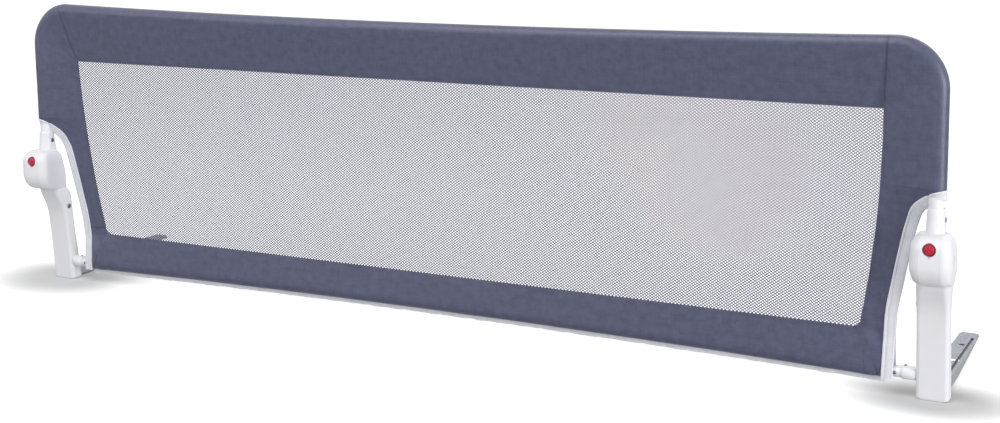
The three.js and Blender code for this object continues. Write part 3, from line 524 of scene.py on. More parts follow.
def leg_casing(label, side):
    casing = leg_skin(f"leg_casing_{label}_moulding", side, material=white_plastic)
    centre = side * (TUBE_X - LEG_INSET)
    half = LEG_HALF - LEG_WALL
    ceiling = PIVOT_Z - KNUCKLE_RADIUS - 2 * LEG_WALL
    window = block("window", (centre - half, -CLEAR, LEG_WALL), (centre + half, CLEAR, ceiling))
    carve(casing, carve(leg_skin("room", side, LEG_WALL), window, "INTERSECT"))
    low, high = side * TUBE_X - KNUCKLE_HALF - SLIT, side * TUBE_X + KNUCKLE_HALF + SLIT
    inner, outer = centre - side * LEG_HALF, side * (TUBE_X + HEAD_HALF)
    for cutter in (
            cylinder("drum", "x", (PIVOT_Y, PIVOT_Z), KNUCKLE_RADIUS + GAP, low, high, sides=96),
            block("slot", (low, -CLEAR, PIVOT_Z), (high, CLEAR, HEAD_TOP + PAST)),
            block("recess", (low, -CLEAR, RECESS_LOW), (high, RECESS_BACK, PIVOT_Z + 1)),
            cylinder("tube_hole", "x", (LOW_Y, LOW_Z), LOW_RADIUS + GAP, inner - side * PAST,
                     inner + side * TUBE_HOLE_DEPTH),
            cylinder("pin_seat", "x", (PIVOT_Y, PIVOT_Z), PIN_SEAT_RADIUS, outer - side * PIN_SEAT_DEPTH,
                     outer + side * PAST)):
        carve(casing, cutter)
    return carry(soften(casing, MOULD_ROUND), BODY_LEGS, "white_plastic", f"leg_casing_{label}")


casings = [leg_casing(label, side) for label, side in SIDES]
print("casing faces:", [len(c.data.polygons) for c in casings])

# %% [markdown]
# The knuckle is the slice of the same head between the ears. A neck grows out of its crown and holds the tube.
# The button sits in a round well, over a small pointer notch. The neck starts inside the head, so no seam shows.

# %% Knuckles, with neck, well and notch
NECK_TOP, TUBE_FOOT = 229.0, 205.0
BUTTON_Z, WELL_RADIUS, WELL_FLOOR = 188.0, 7.5, -21.5
# Height, half width, half depth and middle along y of the neck.
NECK_ROWS = np.array([[186.0, 11.0, 14.0, 1.0], [194.1, 11.0, 14.0, 1.0], [198.2, 11.0, 13.8, 1.0],
                      [205.4, 10.7, 12.8, 0.7], [217.0, 10.2, 11.2, 0.3], [227.6, 9.7, 10.0, 0.0],
                      [NECK_TOP, 9.25, 9.4, 0.0]])
NOTCH = ((-1.5, -7.0), (1.5, -7.0), (0.9, -9.6), (0, -10.4), (-0.9, -9.6))
NOTCH_DEPTH = 1.6


def knuckle(label, side):
    piece = leg_skin(f"knuckle_{label}_moulding", side, material=white_plastic)
    x = side * TUBE_X
    carve(piece, cylinder("slab", "x", (PIVOT_Y, PIVOT_Z), KNUCKLE_RADIUS, x - KNUCKLE_HALF, x + KNUCKLE_HALF,
                          sides=96), "INTERSECT")
    rings = [level_ring(x - half_x, x + half_x, y - half_y, y + half_y, min(half_x, half_y) - 0.3, z)
             for z, half_x, half_y, y in monotone(NECK_ROWS)]
    carve(piece, outward(make_object("neck", *stack(rings))), "UNION")
    carve(piece, cylinder("tube_room", "z", (x, 0.0), TUBE_RADIUS + GAP, TUBE_FOOT - GAP, NECK_TOP + PAST))
    carve(piece, cylinder("well", "y", (x, BUTTON_Z), WELL_RADIUS, HEAD_FRONT - PAST, WELL_FLOOR))
    carve(piece, extruded("notch", "y", [(x + u, BUTTON_Z + v) for u, v in NOTCH], HEAD_FRONT - PAST,
                          HEAD_FRONT + NOTCH_DEPTH))
    return carry(soften(piece, MOULD_ROUND), BODY_FRAME, "white_plastic", f"knuckle_{label}")


knuckles = [knuckle(label, side) for label, side in SIDES]
print("knuckle faces:", [len(k.data.polygons) for k in knuckles])

# %% [markdown]
# A button is turned from a profile: a guide skirt, a step, and a low round crown that a thumb finds. Small end
# faces at the axis close the shape.

# %% Release buttons
BUTTON_PROUD, BUTTON_LENGTH, BUTTON_FACE = 0.5, 9.0, 1.6
button_profile = [(0.01, 0.0), (7.0, 0.0), (7.2, 0.3), (7.2, 6.2), (7.0, 6.7), (6.2, 6.95), (5.7, 7.0),
                  (5.55, 7.25), (5.45, 7.9), (5.1, 8.5), (4.3, 8.85), (2.6, 8.98), (0.01, BUTTON_LENGTH)]
for label, side in SIDES:
    start = (side * TUBE_X, HEAD_FRONT - BUTTON_PROUD + BUTTON_LENGTH, BUTTON_Z)
    button = turned(f"release_button_{label}", button_profile, start, (0, -1, 0), red_plastic)
    depth = np.array([v.co.y for v in button.data.vertices]) / MM
    # Marks the skirt below the face, which the finish darkens as painted shade from its well.
    keep_values(button, "skirt", np.clip((depth - depth.min() - BUTTON_FACE) / 0.3, 0, 1))
    carry(button, f"button_{label}", "red_button", f"button_{label}")
print("buttons turned from", len(button_profile), "points")

# %% [markdown]
# ## Tubes
# The frame is bent from one size of tube. Its two corner pieces rise from the necks, go round the corner and
# end at the straight top tube. The plugs of these joints are hidden under the cloth, so they are not drawn here.
# Between its joints the top tube sags a little because the cover pulls on it. The bottom tube rises in its
# middle for the same reason. A short turned collar covers the place where it enters each leg.

# %% Frame tubes, and collars on the bottom tube
JOINT_REACH = 70.0
FERRULE_START = TUBE_X - LEG_INSET - LEG_HALF - GAP
FERRULE_LENGTH = 16.0


def corner_path(side, steps=16):
    path = [(side * TUBE_X, 0, z) for z in np.linspace(TUBE_FOOT, TOP_Z - CORNER, 5)[:-1]]
    for a in np.arange(steps + 1) / steps * math.pi / 2:
        path.append((side * (CORNER_X + CORNER * math.cos(a)), 0, TOP_Z - CORNER + CORNER * math.sin(a)))
    return path + [(side * (CORNER_X - JOINT_REACH), 0, TOP_Z - bow(CORNER_X - JOINT_REACH))]


top_end = CORNER_X - JOINT_REACH - GAP
low_end = TUBE_X - LEG_INSET - LEG_HALF + LEG_WALL + 1
top_path = [(x, 0, TOP_Z - bow(x)) for x in np.linspace(-top_end, top_end, 25)]
low_path = [(x, LOW_Y, LOW_Z + bow(x)) for x in np.linspace(-low_end, low_end, 41)]
collar_profile = [(7.1, 0.0), (7.9, 0.0), (8.1, 0.3), (8.1, 14.6), (7.8, 15.6), (7.4, FERRULE_LENGTH),
                  (7.1, 15.8), (7.1, 0.0)]
for node, body, path, radius in (
        ("corner_tube_left", BODY_FRAME, corner_path(-1.0), TUBE_RADIUS),
        ("corner_tube_right", BODY_FRAME, corner_path(1.0), TUBE_RADIUS),
        ("top_tube", BODY_FRAME, top_path, TUBE_RADIUS), ("bottom_tube", BODY_LEGS, low_path, LOW_RADIUS)):
    carry(swept_tube(node + "_painted", path, radius), body, "white_steel", node)
for label, side in SIDES:
    collar = turned(f"collar_{label}", collar_profile, (side * FERRULE_START, LOW_Y, LOW_Z), (-side, 0, 0),
                    white_plastic, closed=False)
    carry(collar, BODY_LEGS, "white_plastic", f"ferrule_{label}")
print("tube lengths in mm:", round(2 * top_end), round(2 * low_end))

# %% [markdown]
# ## Bed arms
# Each leg holds a pressed steel strip. It stands inside the leg, bends at its foot and runs back under the
# mattress. Its long edges are turned down for stiffness. They are deep near the leg and taper off towards the
# far end, whose corners are rounded. One hole, one raised bead and a groove beside the outer fold are pressed
# into its top. A plate is drawn with its upright end, the turned-down edges are joined on, and the rounded plan
# trims both.

# %% Pressed bed arms
ARM_HALF, ARM_END, ARM_UNDER, ARM_SHEET = 12.0, 255.0, 16.0, 2.0
ARM_TOP = ARM_UNDER + ARM_SHEET
ARM_FOOT = ARM_TOP - 15.0
ARM_TAPER, ARM_ROUND, ARM_BEND = 145.0, 7.0, 5.0
ARM_HOLE_Y, ARM_BEAD_Y = ARM_END - 57.0, ARM_END - 127.0
LIMB_BACK, LIMB_TOP = 23.6, 96.0
ARM_HOLE_RADIUS, BEAD_HALF, BEAD_HEIGHT, BEAD_IN = 3.5, 4.0, 1.6, 2.4
GROOVE_IN, GROOVE_HALF, GROOVE_DEPTH, GROOVE_START, GROOVE_END = 7.4, 1.7, 1.2, 44.0, ARM_END - 24
SOLE = to_row([(0, 0, 0)])[0][2] / MM


def arc(centre, radius, angles):
    return [(centre[0] + radius * math.cos(a), centre[1] + radius * math.sin(a)) for a in angles]


def bed_arm(label, side):
    centre = side * (TUBE_X - LEG_INSET)
    left, right = centre - ARM_HALF, centre + ARM_HALF
    bend = np.linspace(math.pi, 1.5 * math.pi, 9)
    hub = (LIMB_BACK - ARM_SHEET + ARM_BEND, ARM_UNDER + ARM_BEND)
    strip = [(LIMB_BACK - ARM_SHEET, LIMB_TOP), *arc(hub, ARM_BEND, bend), (ARM_END, ARM_UNDER),
             (ARM_END, ARM_TOP), *arc(hub, ARM_BEND - ARM_SHEET, bend[::-1]), (LIMB_BACK, LIMB_TOP)]
    arm = extruded(f"bed_arm_{label}_pressed", "x", strip, left, right, zinc_sheet)
    edge = [(LIMB_BACK + ARM_BEND, ARM_UNDER + 1), (LIMB_BACK + ARM_BEND, ARM_FOOT),
            (ARM_END - ARM_TAPER, ARM_FOOT), (ARM_END, ARM_UNDER), (ARM_END, ARM_UNDER + 1)]
    for start in (left, right - ARM_SHEET):
        carve(arm, extruded("edge", "x", edge, start, start + ARM_SHEET), "UNION")
    bead = [(ARM_BEAD_Y - BEAD_HALF * math.cos(a), ARM_TOP - 0.2 + BEAD_HEIGHT * math.sin(a))
            for a in np.linspace(0, math.pi, 11)]
    roots = [(ARM_BEAD_Y + way * (BEAD_HALF + 1), ARM_UNDER + 1) for way in (-1, 1)]
    carve(arm, extruded("bead", "x", [roots[0], *bead, roots[1]], left + BEAD_IN, right - BEAD_IN), "UNION")
    quarter, shoulder = np.linspace(0, math.pi / 2, 9), ARM_END - 30
    plan = [(left - 1, 0), (right + 1, 0), (right + 1, shoulder), (right, shoulder),
            *arc((right - ARM_ROUND, ARM_END - ARM_ROUND), ARM_ROUND, quarter),
            *arc((left + ARM_ROUND, ARM_END - ARM_ROUND), ARM_ROUND, math.pi / 2 + quarter),
            (left, shoulder), (left - 1, shoulder)]
    carve(arm, extruded("plan", "z", plan, -1, 130), "INTERSECT")
    carve(arm, cylinder("hole", "z", (centre, ARM_HOLE_Y), ARM_HOLE_RADIUS, 0.0, 30.0, sides=32))
    groove = centre + side * GROOVE_IN
    carve(arm, block("groove", (groove - GROOVE_HALF, GROOVE_START, ARM_TOP - GROOVE_DEPTH),
                     (groove + GROOVE_HALF, GROOVE_END, 30)))
    soften(arm, 0.4, degrees=40.0)
    # Faces in the groove get painted shade, and the bead's crest and the upright faces get a painted highlight.
    painted_light_tones = []
    for face in arm.data.polygons:
        x, height = face.center.x / MM, face.center.z / MM - SOLE
        groove_painted_shade = abs(x - groove) < GROOVE_HALF + 0.1 and ARM_TOP - 1.3 < height < ARM_TOP - 0.1
        painted_highlight = 1.0 if height > ARM_TOP + 0.5 else 0.55 if abs(face.normal.x) > 0.8 else 0.0
        painted_light_tones.append(-1.0 if groove_painted_shade else painted_highlight)
    keep_values(arm, "tone", painted_light_tones, "FACE")
    return carry(arm, BODY_LEGS, "zinc", f"bed_arm_{label}")


arms = [bed_arm(label, side) for label, side in SIDES]
print("arm faces:", [len(a.data.polygons) for a in arms])

# %% [markdown]
# ## The cover's shape
# The cover is one sheet of cloth that wraps every tube. Where it leaves a tube it runs flat to the window's
# edge, and there its two layers meet. A section through it therefore looks like a drop. Lower down the upright
# tubes stay free: the cloth is cut away beside each leg, and its two layers lie a few millimetres apart. These
# functions give the middle plane and half the thickness anywhere.

# %% Functions for the cover's shape
THIN, EDGE_HALF = 0.9, 4.0
DROP_SWELL, ROUND_SHARE = 1.012, 0.14
CUT_TOP, CUT_SHOULDER, CUT_DEPTH = 250.0, 42.0, 60.0
INSET_TOP, INSET_MIDDLE, INSET_LOW = 62.0, 69.0, 86.0
WINDOW_CORNER_Z = WINDOW_LOW + WINDOW_ROUND
WINDOW_CORNER_X = TUBE_X - INSET_LOW - WINDOW_ROUND
HEM_FOOT = LOW_Z - HEM + 0.3


def lean(z):
    """The cover leans back from the top tube to the bottom one."""
    return LOW_Y * clamp((TOP_Z - z) / (TOP_Z - LOW_Z))


def window_inset(z):
    """How far the window's side edge lies inside the upright tube's line."""
    t = clamp((WINDOW_TOP - z) / (WINDOW_TOP - WINDOW_CORNER_Z))
    u = (WINDOW_TOP - WINDOW_LOW) / 2 / (WINDOW_TOP - WINDOW_CORNER_Z)
    bulge = (INSET_MIDDLE - mix(INSET_TOP, INSET_LOW, u)) / (u * (u - 1))
    return mix(INSET_TOP, INSET_LOW, t) + bulge * t * (t - 1)


def window_corner(t):
    """The window's rounded lower corner, from its side edge at 0 to its bottom edge at 1."""
    x0, a, b, c = TUBE_X - INSET_LOW, (1 - t) ** 2, 2 * t * (1 - t), t * t
    return ((a + b) * x0 + c * WINDOW_CORNER_X, a * WINDOW_CORNER_Z + (b + c) * WINDOW_LOW)


def held_share(z):
    """1 where the cover wraps the upright tube, 0 where it is cut away beside it."""
    return clamp((z - CUT_TOP + CUT_SHOULDER) / CUT_SHOULDER)


def middle_y(x, z):
    return lean(z) * mix(1.0, clamp((TUBE_X - abs(x)) / INSET_TOP), held_share(z))


def on_round(depth, radius):
    return math.sqrt(max(0.0, radius ** 2 - depth ** 2))


def drop_half(depth, width, radius):
    """Half the thickness of a drop-shaped section, at a depth inside the tube's axis."""
    if depth < radius * ROUND_SHARE:
        return on_round(depth, radius)
    return mix(radius * DROP_SWELL, THIN, clamp(depth / width))


def hem_half(x, z):
    axis = LOW_Z + bow(x)
    return drop_half(z - axis, WINDOW_LOW - axis, HEM)


def side_half(x, z):
    """Beside the cut-outs: the drop of the sleeve fades into two layers a few millimetres apart."""
    low = hem_half(x, z)
    if z < LOW_Z + bow(x):
        return low
    depth, held = TUBE_X - abs(x), held_share(z)
    if depth < SLEEVE * ROUND_SHARE and held > 0.8:
        return max(low, on_round(depth, SLEEVE))
    return max(low, mix(mix(EDGE_HALF, SLEEVE * DROP_SWELL, held), THIN, clamp(depth / window_inset(z))))


def through(anchors, t):
    """A smooth curve through anchors, t from 0 to 1."""
    place = (len(anchors) - 1) * t
    k = min(int(place), len(anchors) - 2)
    w = place - k
    p0, p1, p2, p3 = (anchors[min(max(i, 0), len(anchors) - 1)] for i in (k - 1, k, k + 1, k + 2))
    return [0.5 * (2 * b + (c - a) * w + (2 * a - 5 * b + 4 * c - d) * w * w + (3 * b - a - 3 * c + d) * w ** 3)
            for a, b, c, d in zip(p0, p1, p2, p3)]


cut_anchors = [(TUBE_X - depth * CUT_DEPTH, share * CUT_TOP) for depth, share in (
    (-0.4, 1.0), (0.02, 0.985), (0.42, 0.92), (0.57, 0.84), (0.68, 0.735), (0.83, 0.555), (0.96, 0.37),
    (1.0, 0.07))]
dense = [through(cut_anchors, k / 2000) for k in range(2001)]
cut_line = [p for p in dense if p[0] <= TUBE_X + SLEEVE and p[1] >= HEM_FOOT]
print("cut-out line from", [round(v, 1) for v in cut_line[0]], "to", [round(v, 1) for v in cut_line[-1]])

# %% [markdown]
# ## Sewing the cover
# The sheet is a grid. Its columns are sections that follow each other once round the window, and its rows run
# from the window's edge over the tube to the window's edge at the back. Beside a leg the sections stop at the
# cut, so front and back are two separate edges there. The grid also carries the weave's UV map in millimetres,
# and a value that sinks and darkens the cloth along its seams, and darkens its cut edge as painted shade. A
# section holds its window point, its outermost point, its tube's radius, the depth of its drop and its kind.

# %% Sections once round the window
FLAT_ROWS, ROUND_ROWS = 9, 9
EDGE_FOLD = 2.2
Section = namedtuple("Section", "inner outer radius width kind")


def spaced(points, step):
    """Every point of a dense line that is a step or more along it, with both ends kept."""
    kept, travelled = [points[0]], 0.0
    for a, b in zip(points, points[1:]):
        travelled += math.dist(a, b)
        if travelled >= step(b):
            kept.append(b)
            travelled = 0.0
    if kept[-1] is not points[-1]:
        kept.append(points[-1])
    return kept


def half_round():
    """Sections from the middle of the top, clockwise, to the middle of the hem, for x above zero."""
    out = []
    corner_x, reach = TUBE_X - INSET_TOP, CORNER + SLEEVE
    for x in np.linspace(0, corner_x, 84):
        axis = TOP_Z - bow(x)
        out.append(Section((x, WINDOW_TOP), (x, axis + SLEEVE), SLEEVE, axis - WINDOW_TOP, "tube"))
    for x in np.linspace(corner_x, CORNER_X, 7)[1:-1]:
        out.append(Section((corner_x, WINDOW_TOP), (mix(corner_x, x, 1.5), TOP_Z - bow(x) + SLEEVE), SLEEVE,
                           TOP_Z - WINDOW_TOP, "tube"))
    for outer in arc((CORNER_X, TOP_Z - CORNER), reach, np.linspace(math.pi / 2, 0, 25)):
        if outer[0] > out[-1].outer[0]:
            width = math.dist((corner_x, WINDOW_TOP), outer) - SLEEVE
            out.append(Section((corner_x, WINDOW_TOP), outer, SLEEVE, width, "tube"))
    for z in (*np.linspace(WINDOW_TOP, 262.0, 13)[1:], *np.linspace(262.0, cut_line[0][1], 7)[1:]):
        inset = window_inset(z)
        out.append(Section((TUBE_X - inset, z), (TUBE_X + SLEEVE, z), SLEEVE, inset, "tube"))
    for x, z in spaced(cut_line, lambda p: 1.4 if p[1] > 238 else 3.2)[1:]:
        low = clamp((WINDOW_CORNER_Z - z) / (WINDOW_CORNER_Z - HEM_FOOT)) * 0.5
        inner = (TUBE_X - window_inset(z), z) if z > WINDOW_CORNER_Z else window_corner(low)
        out.append(Section(inner, (x, z), 0.0, 0.0, "cut"))
    hem = [(window_corner(0.5 + k / 16), mix(cut_line[-1][0], WINDOW_CORNER_X, k / 8)) for k in range(1, 9)]
    hem += [((x, WINDOW_LOW), x) for x in np.linspace(WINDOW_CORNER_X, 0, 80)[1:]]
    for inner, x in hem:
        axis = LOW_Z + bow(x)
        out.append(Section(inner, (x, axis - HEM), HEM, WINDOW_LOW - axis, "hem"))
    return out


right_half = half_round()
sections = right_half + [s._replace(inner=(-s.inner[0], s.inner[1]), outer=(-s.outer[0], s.outer[1]))
                         for s in reversed(right_half[1:-1])]
print("sections round the window:", len(sections))

# %% [markdown]
# Real cloth is never quite flat. Between its seams it puckers a little, and where the frame stretches it from
# corner to corner it shows long shallow folds. Both are added as small, smooth offsets of the surface. The noise
# reads the cloth's own place, so it is the same in every run.

# %% Small folds and puckers
CREASE, CREASE_X, CREASE_Z = 4.5, 548.0, 250.0


def fold_offset(x, z, depth_in, layer):
    """How far the cloth stands proud at a place, in millimetres."""
    broad = wander(x * 0.011, z * 0.016, 3.1 * layer) * 0.9
    fine = wander(x * 0.05, z * 0.05, 7.7 + layer) * 0.22
    side_band = clamp((abs(x) - CREASE_X) / 25) * clamp((CREASE_Z - z) / 60)
    crease = side_band * CREASE * wander(x * 0.06 + z * 0.016, z * 0.012, 1.9 * layer + (x > 0))
    pucker = 0.28 * math.exp(-depth_in / 7.0) * math.sin((x + z) * 0.55 + 2.5 * wander(x * 0.02, z * 0.02, 0.5))
    return broad + fine + crease + pucker


def cloth_rows(item):
    """Front and back of a section, edge to edge: x, y, z, u, v and the way from the window of each point."""
    (ix, iz), (ox, oz) = item.inner, item.outer
    length = math.dist(item.inner, item.outer)
    ux, uz = (ox - ix) / length, (oz - iz) / length
    radius, width, is_cut = item.radius, item.width, item.kind == "cut"
    if is_cut:
        last_row = FLAT_ROWS + ROUND_ROWS - 1
        depths = [k / last_row * (1 - EDGE_FOLD / length) for k in range(last_row + 1)] + [1.0]
    else:
        depths = [k / FLAT_ROWS * width / (width + radius) for k in range(FLAT_ROWS + 1)]
        depths += [(width + radius * math.sin(k / ROUND_ROWS * math.pi / 2)) / (width + radius)
                   for k in range(1, ROUND_ROWS + 1)]
    front, back = [], []
    travelled, last = 0.0, None
    for share in depths:
        far_in = length * share
        x, z = ix + ux * far_in, iz + uz * far_in
        half = side_half(x, z) if is_cut else drop_half(width - share * (width + radius), width, radius)
        at_cut = clamp((length - far_in) / 6.0) if is_cut else 1.0
        settle = clamp(half / 3.0) * at_cut * clamp(far_in / 6.0 + 0.15)
        puff = [half + settle * fold_offset(x, z, far_in, layer) for layer in (0, 1)]
        travelled += math.dist((x, z, half), last) if last else 0.0
        last = (x, z, half)
        front.append((x, middle_y(x, z) - puff[0], z, ix + ux * travelled, iz + uz * travelled, far_in))
        back.append((x, middle_y(x, z) + puff[1], z, travelled, far_in))
    return front, [(x, y, z, ix + ux * (2 * travelled - way), iz + uz * (2 * travelled - way), far_in)
                   for x, y, z, way, far_in in reversed(back)]


rows_of_cloth = [cloth_rows(item) for item in sections]
print("points in a section:", 2 * len(rows_of_cloth[0][0]))

# %% [markdown]
# With the sections in hand the sheet is a matter of joining neighbours. Front and back meet on a tube's far
# side, and stay apart at a cut. The window's edge is closed by a narrow strip, because the two layers are sewn
# together there. Solidify then gives the cloth its thickness, inwards, so the outer surface stays where it is.

# %% The cover as one sheet
SEAM_HALF, SEAM_SINK = 1.3, 0.45
LEVEL_SEAM_Z, LEVEL_SEAM_X = WINDOW_LOW + 10.0, 560.0
PROBE_Z = 385.0
SEAM_LEAN = {-1: 22.0, 1: 6.0}
JOIN_CLOTH = 0.00002


def seam_foot(side, t):
    """The corner seam's place across the rail, from the window's corner at 0 to the sleeve's crown at 1."""
    return side * (TUBE_X - INSET_TOP + SEAM_LEAN[side] * t)


def seam_value(x, z):
    """1 on a seam of the cover, 0 away from it. The left lower corner has a level seam too."""
    best = 99.0
    if z > WINDOW_TOP:
        best = abs(x - seam_foot(1 if x > 0 else -1, (z - WINDOW_TOP) / (TOP_Z + SLEEVE - WINDOW_TOP)))
    if z < 110 and -x > TUBE_X - INSET_LOW - 4:
        best = min(best, abs(z - LEVEL_SEAM_Z - 0.1 * (x + LEVEL_SEAM_X)))
    return clamp(1.25 - best / SEAM_HALF)


def weave_map(obj, uvs, seam_and_shade_values=()):
    """Keeps the weave's place in millimetres as the piece's UV map, and its seams and painted shade as a value.
    """
    mesh = obj.data
    index = np.zeros(len(mesh.loops), int)
    mesh.loops.foreach_get("vertex_index", index)
    mesh.uv_layers.new(name="cloth").data.foreach_set("uv", np.array(uvs, np.float32)[index].ravel())
    if seam_and_shade_values:
        keep_values(obj, "seam", seam_and_shade_values)
    return outward(obj, JOIN_CLOTH)


def thicken(obj, thickness, offset=-1.0):
    """Gives a sheet its thickness, inwards unless the offset says otherwise."""
    return smooth_shading(modified(obj, "SOLIDIFY", thickness=thickness * MM, offset=offset), 60.0)


def front_out(bm):
    """Turns the sheet over if the cloth above the window's middle faces inwards."""
    bmesh.ops.dissolve_degenerate(bm, edges=bm.edges, dist=0.00001)
    bmesh.ops.recalc_face_normals(bm, faces=bm.faces)

    def away(face):
        middle = face.calc_center_median()
        return abs(middle.x) + abs(middle.z - PROBE_Z * MM) + (10 if middle.y > SHIFT_Y else 0)

    if min(bm.faces, key=away).normal.y > 0:
        bmesh.ops.reverse_faces(bm, faces=bm.faces)


def build_cover():
    points, uvs, seam_and_shade_values, faces = [], [], [], []
    total, count = len(sections), len(rows_of_cloth[0][0])
    per = 2 * count
    for item, layers in zip(sections, rows_of_cloth):
        length = math.dist(item.inner, item.outer)
        for way, layer in zip((1, -1), layers):
            for x, y, z, u, v, far_in in layer:
                # At the cut edge the value is full, which sinks the edge and darkens it as painted shade beside
                # the binding.
                is_edge = item.kind == "cut" and length - far_in < 0.5
                seam_and_shade_values.append(1.0 if is_edge else seam_value(x, z))
                points.append((x, y + way * seam_and_shade_values[-1] * SEAM_SINK, z))
                uvs.append((u, v))
    for k in range(total):
        after = (k + 1) % total
        is_open = "cut" in (sections[k].kind, sections[after].kind)
        for row in range(per):
            if not (is_open and row == count - 1):
                a, b = k * per, after * per
                following = (row + 1) % per
                faces.append((a + row, a + following, b + following, b + row))
    sheet = weave_map(make_object("cover", points, faces, cover_cloth), uvs, seam_and_shade_values)
    return thicken(edited(sheet, front_out), CLOTH)


cover = build_cover()
print("cover faces:", len(cover.data.polygons))

# %% [markdown]
# ## White binding and hem tape
# The cut edges are bound with white woven tape. It stands off as a thick rounded rim beside the dark cloth, runs
# flat for most of its width, and rolls over at its free edge, where front and back leave a narrow slit. Where
# the cut reaches the upright tube, the tape closes into a ring round it. A section is a short list of offsets
# across the cut and shares of the cloth's half thickness. Under the hem hangs the white tape that the studs pull
# on. It is soft, so its lower edge waves a little.

# %% Binding along both cut-outs, and tape under the hem
TAPE, HEM_TAPE = 0.7, 1.0
TAPE_UNDER, TAPE_DROP, TAPE_WIDTH = 0.8, 6.4, 7.0
BINDING_HALF = 2.2
BAND_SHAPE = ((-0.9, -0.2), (-0.6, 0.8), (0.3, 1.15), (1.3, 1.1), (2.1, 0.65), (2.6, 0.1), (3.3, 0.4),
              (6.5, 0.55), (9.5, 0.45), (10.9, 0.1), (11.6, 0.25), (12.3, -0.3), (12.8, -1.3), (12.5, -2.4),
              (10.6, -3.0))
# The band's two grooves, by their number in its shape, are darkened as painted shade.
GROOVE_PAINTED_SHADE = {5: 0.75, 9: 0.6}
RING_POINTS = 9


def with_normals(line):
    """Each point of a line in x and z, with the direction square to the line there."""
    out = []
    for k, (x, z) in enumerate(line):
        before, after = line[max(k - 1, 0)], line[min(k + 1, len(line) - 1)]
        size = math.dist(before, after)
        out.append((x, z, (before[1] - after[1]) / size, (after[0] - before[0]) / size))
    return out


def strips(rows, per, first, last, skip=lambda k, column: False):
    """Faces that join neighbouring rows of points, from a first column to a last one."""
    return [(k * per + c, k * per + c + 1, (k + 1) * per + c + 1, (k + 1) * per + c)
            for k in range(rows - 1) for c in range(first, last) if not skip(k, c - first)]


def bound_edge(label, side):
    line = spaced(cut_line, lambda p: 1.3 if p[1] > 236 else 3.0)
    count = len(BAND_SHAPE)
    points, uvs, seam_and_shade_values = [], [], []
    travelled, before = 0.0, line[0]
    for x, z, nx, nz in with_normals(line):
        travelled += math.dist(before, (x, z))
        before = (x, z)
        for way in (-1, 1):
            for number, (across, proud) in enumerate(BAND_SHAPE):
                px, pz = min(x + nx * across, TUBE_X + SLEEVE), z + nz * across
                wobble = 0.25 * wander(travelled * 0.05, across * 0.2, way + 9.0 * side)
                ring = on_round(TUBE_X - px, SLEEVE)
                on_tube = clamp((px - TUBE_X + SLEEVE) / 3.0)
                half = side_half(px, max(pz, LOW_Z + bow(px))) if px < TUBE_X else 0.0
                free = max(half, BINDING_HALF) + proud + wobble
                half = max(mix(free, ring + max(0.0, proud) * clamp(ring / 4.0), on_tube),
                           0.35 if on_tube < 1 else 0.0)
                points.append((side * px, middle_y(px, max(pz, LOW_Z)) + way * half, pz))
                uvs.append((travelled, across + 20 * way))
                seam_and_shade_values.append(GROOVE_PAINTED_SHADE.get(number, 0.0))

    def inside_ring(k, column):
        return line[k][0] > TUBE_X - SLEEVE - 6 and column > RING_POINTS

    faces = [face for start in (0, count)
             for face in strips(len(line), 2 * count, start, start + count - 1, inside_ring)]
    return weave_map(make_object(f"binding_{label}", points, faces, white_tape), uvs, seam_and_shade_values)


def hem_tape():
    points, uvs = [], []
    end = cut_line[-1][0] + 2.0
    places, shares = np.linspace(-end, end, 420), (0.0, 0.35, 0.7, 1.0)
    for x in places:
        top = LOW_Z + bow(x) - HEM + TAPE_UNDER
        wave = 0.9 * wander(x * 0.045, 0.3, 0.0) + 0.5 * wander(x * 0.16, 4.0, 0.0)
        drop = TAPE_DROP + 0.9 * wander(x * 0.07, 8.0, 0.0)
        for share in shares:
            points.append((x, LOW_Y + wave * share * 2.2, top - share * drop))
            uvs.append((x, share * TAPE_WIDTH))
    faces = strips(len(places), len(shares), 0, len(shares) - 1)
    return thicken(weave_map(make_object("hem_tape", points, faces, white_tape), uvs), HEM_TAPE, offset=0.0)


bindings = [thicken(bound_edge(label, side), TAPE) for label, side in SIDES]
tape = hem_tape()
print("binding faces:", [len(b.data.polygons) for b in bindings], "tape faces:", len(tape.data.polygons))

# %% [markdown]
# ## The net
# A warp-knitted net has diamond openings, about 5 mm wide and 4 mm high. It could be a picture on a sheet, but a
# picture has no thickness and shimmers, so the threads are real. Two families of straight lines cross at the
# diamonds' slopes. They are clipped to the window in code, and they have extra points near the hinge. Then one
# small Geometry Nodes tree makes curves of the lines, sweeps a four-sided section along and sets the material.
# Other trees later place screws and stitches, so their common first and last steps are shared.

# %% Lines of the net, and a node tree that gives lines a thickness
NET_WIDTH, NET_HEIGHT, THREAD = 4.75, 3.6, 0.96
NET_EDGE, NET_SKEW = 2.0, 0.09
# Each family lies this share of a thread off the net's middle, and shorter ends than this are left out.
THREAD_OFF, SHORTEST = 0.3, 2.0
# Between these heights the threads have close points.
BEND_LOW, BEND_HIGH = 108.0, 238.0


def window_half(z):
    """The window's half width at a height, with its rounded lower corners."""
    if z >= WINDOW_CORNER_Z:
        return TUBE_X - window_inset(z)
    corner = [window_corner(k / 40) for k in range(41)]
    return min([x for x, height in corner if height >= z], default=WINDOW_CORNER_X)


def net_half(z):
    """The net's half width at a height, with the margin that is sewn under the cover."""
    return window_half(min(max(z, WINDOW_LOW), WINDOW_TOP)) + NET_EDGE


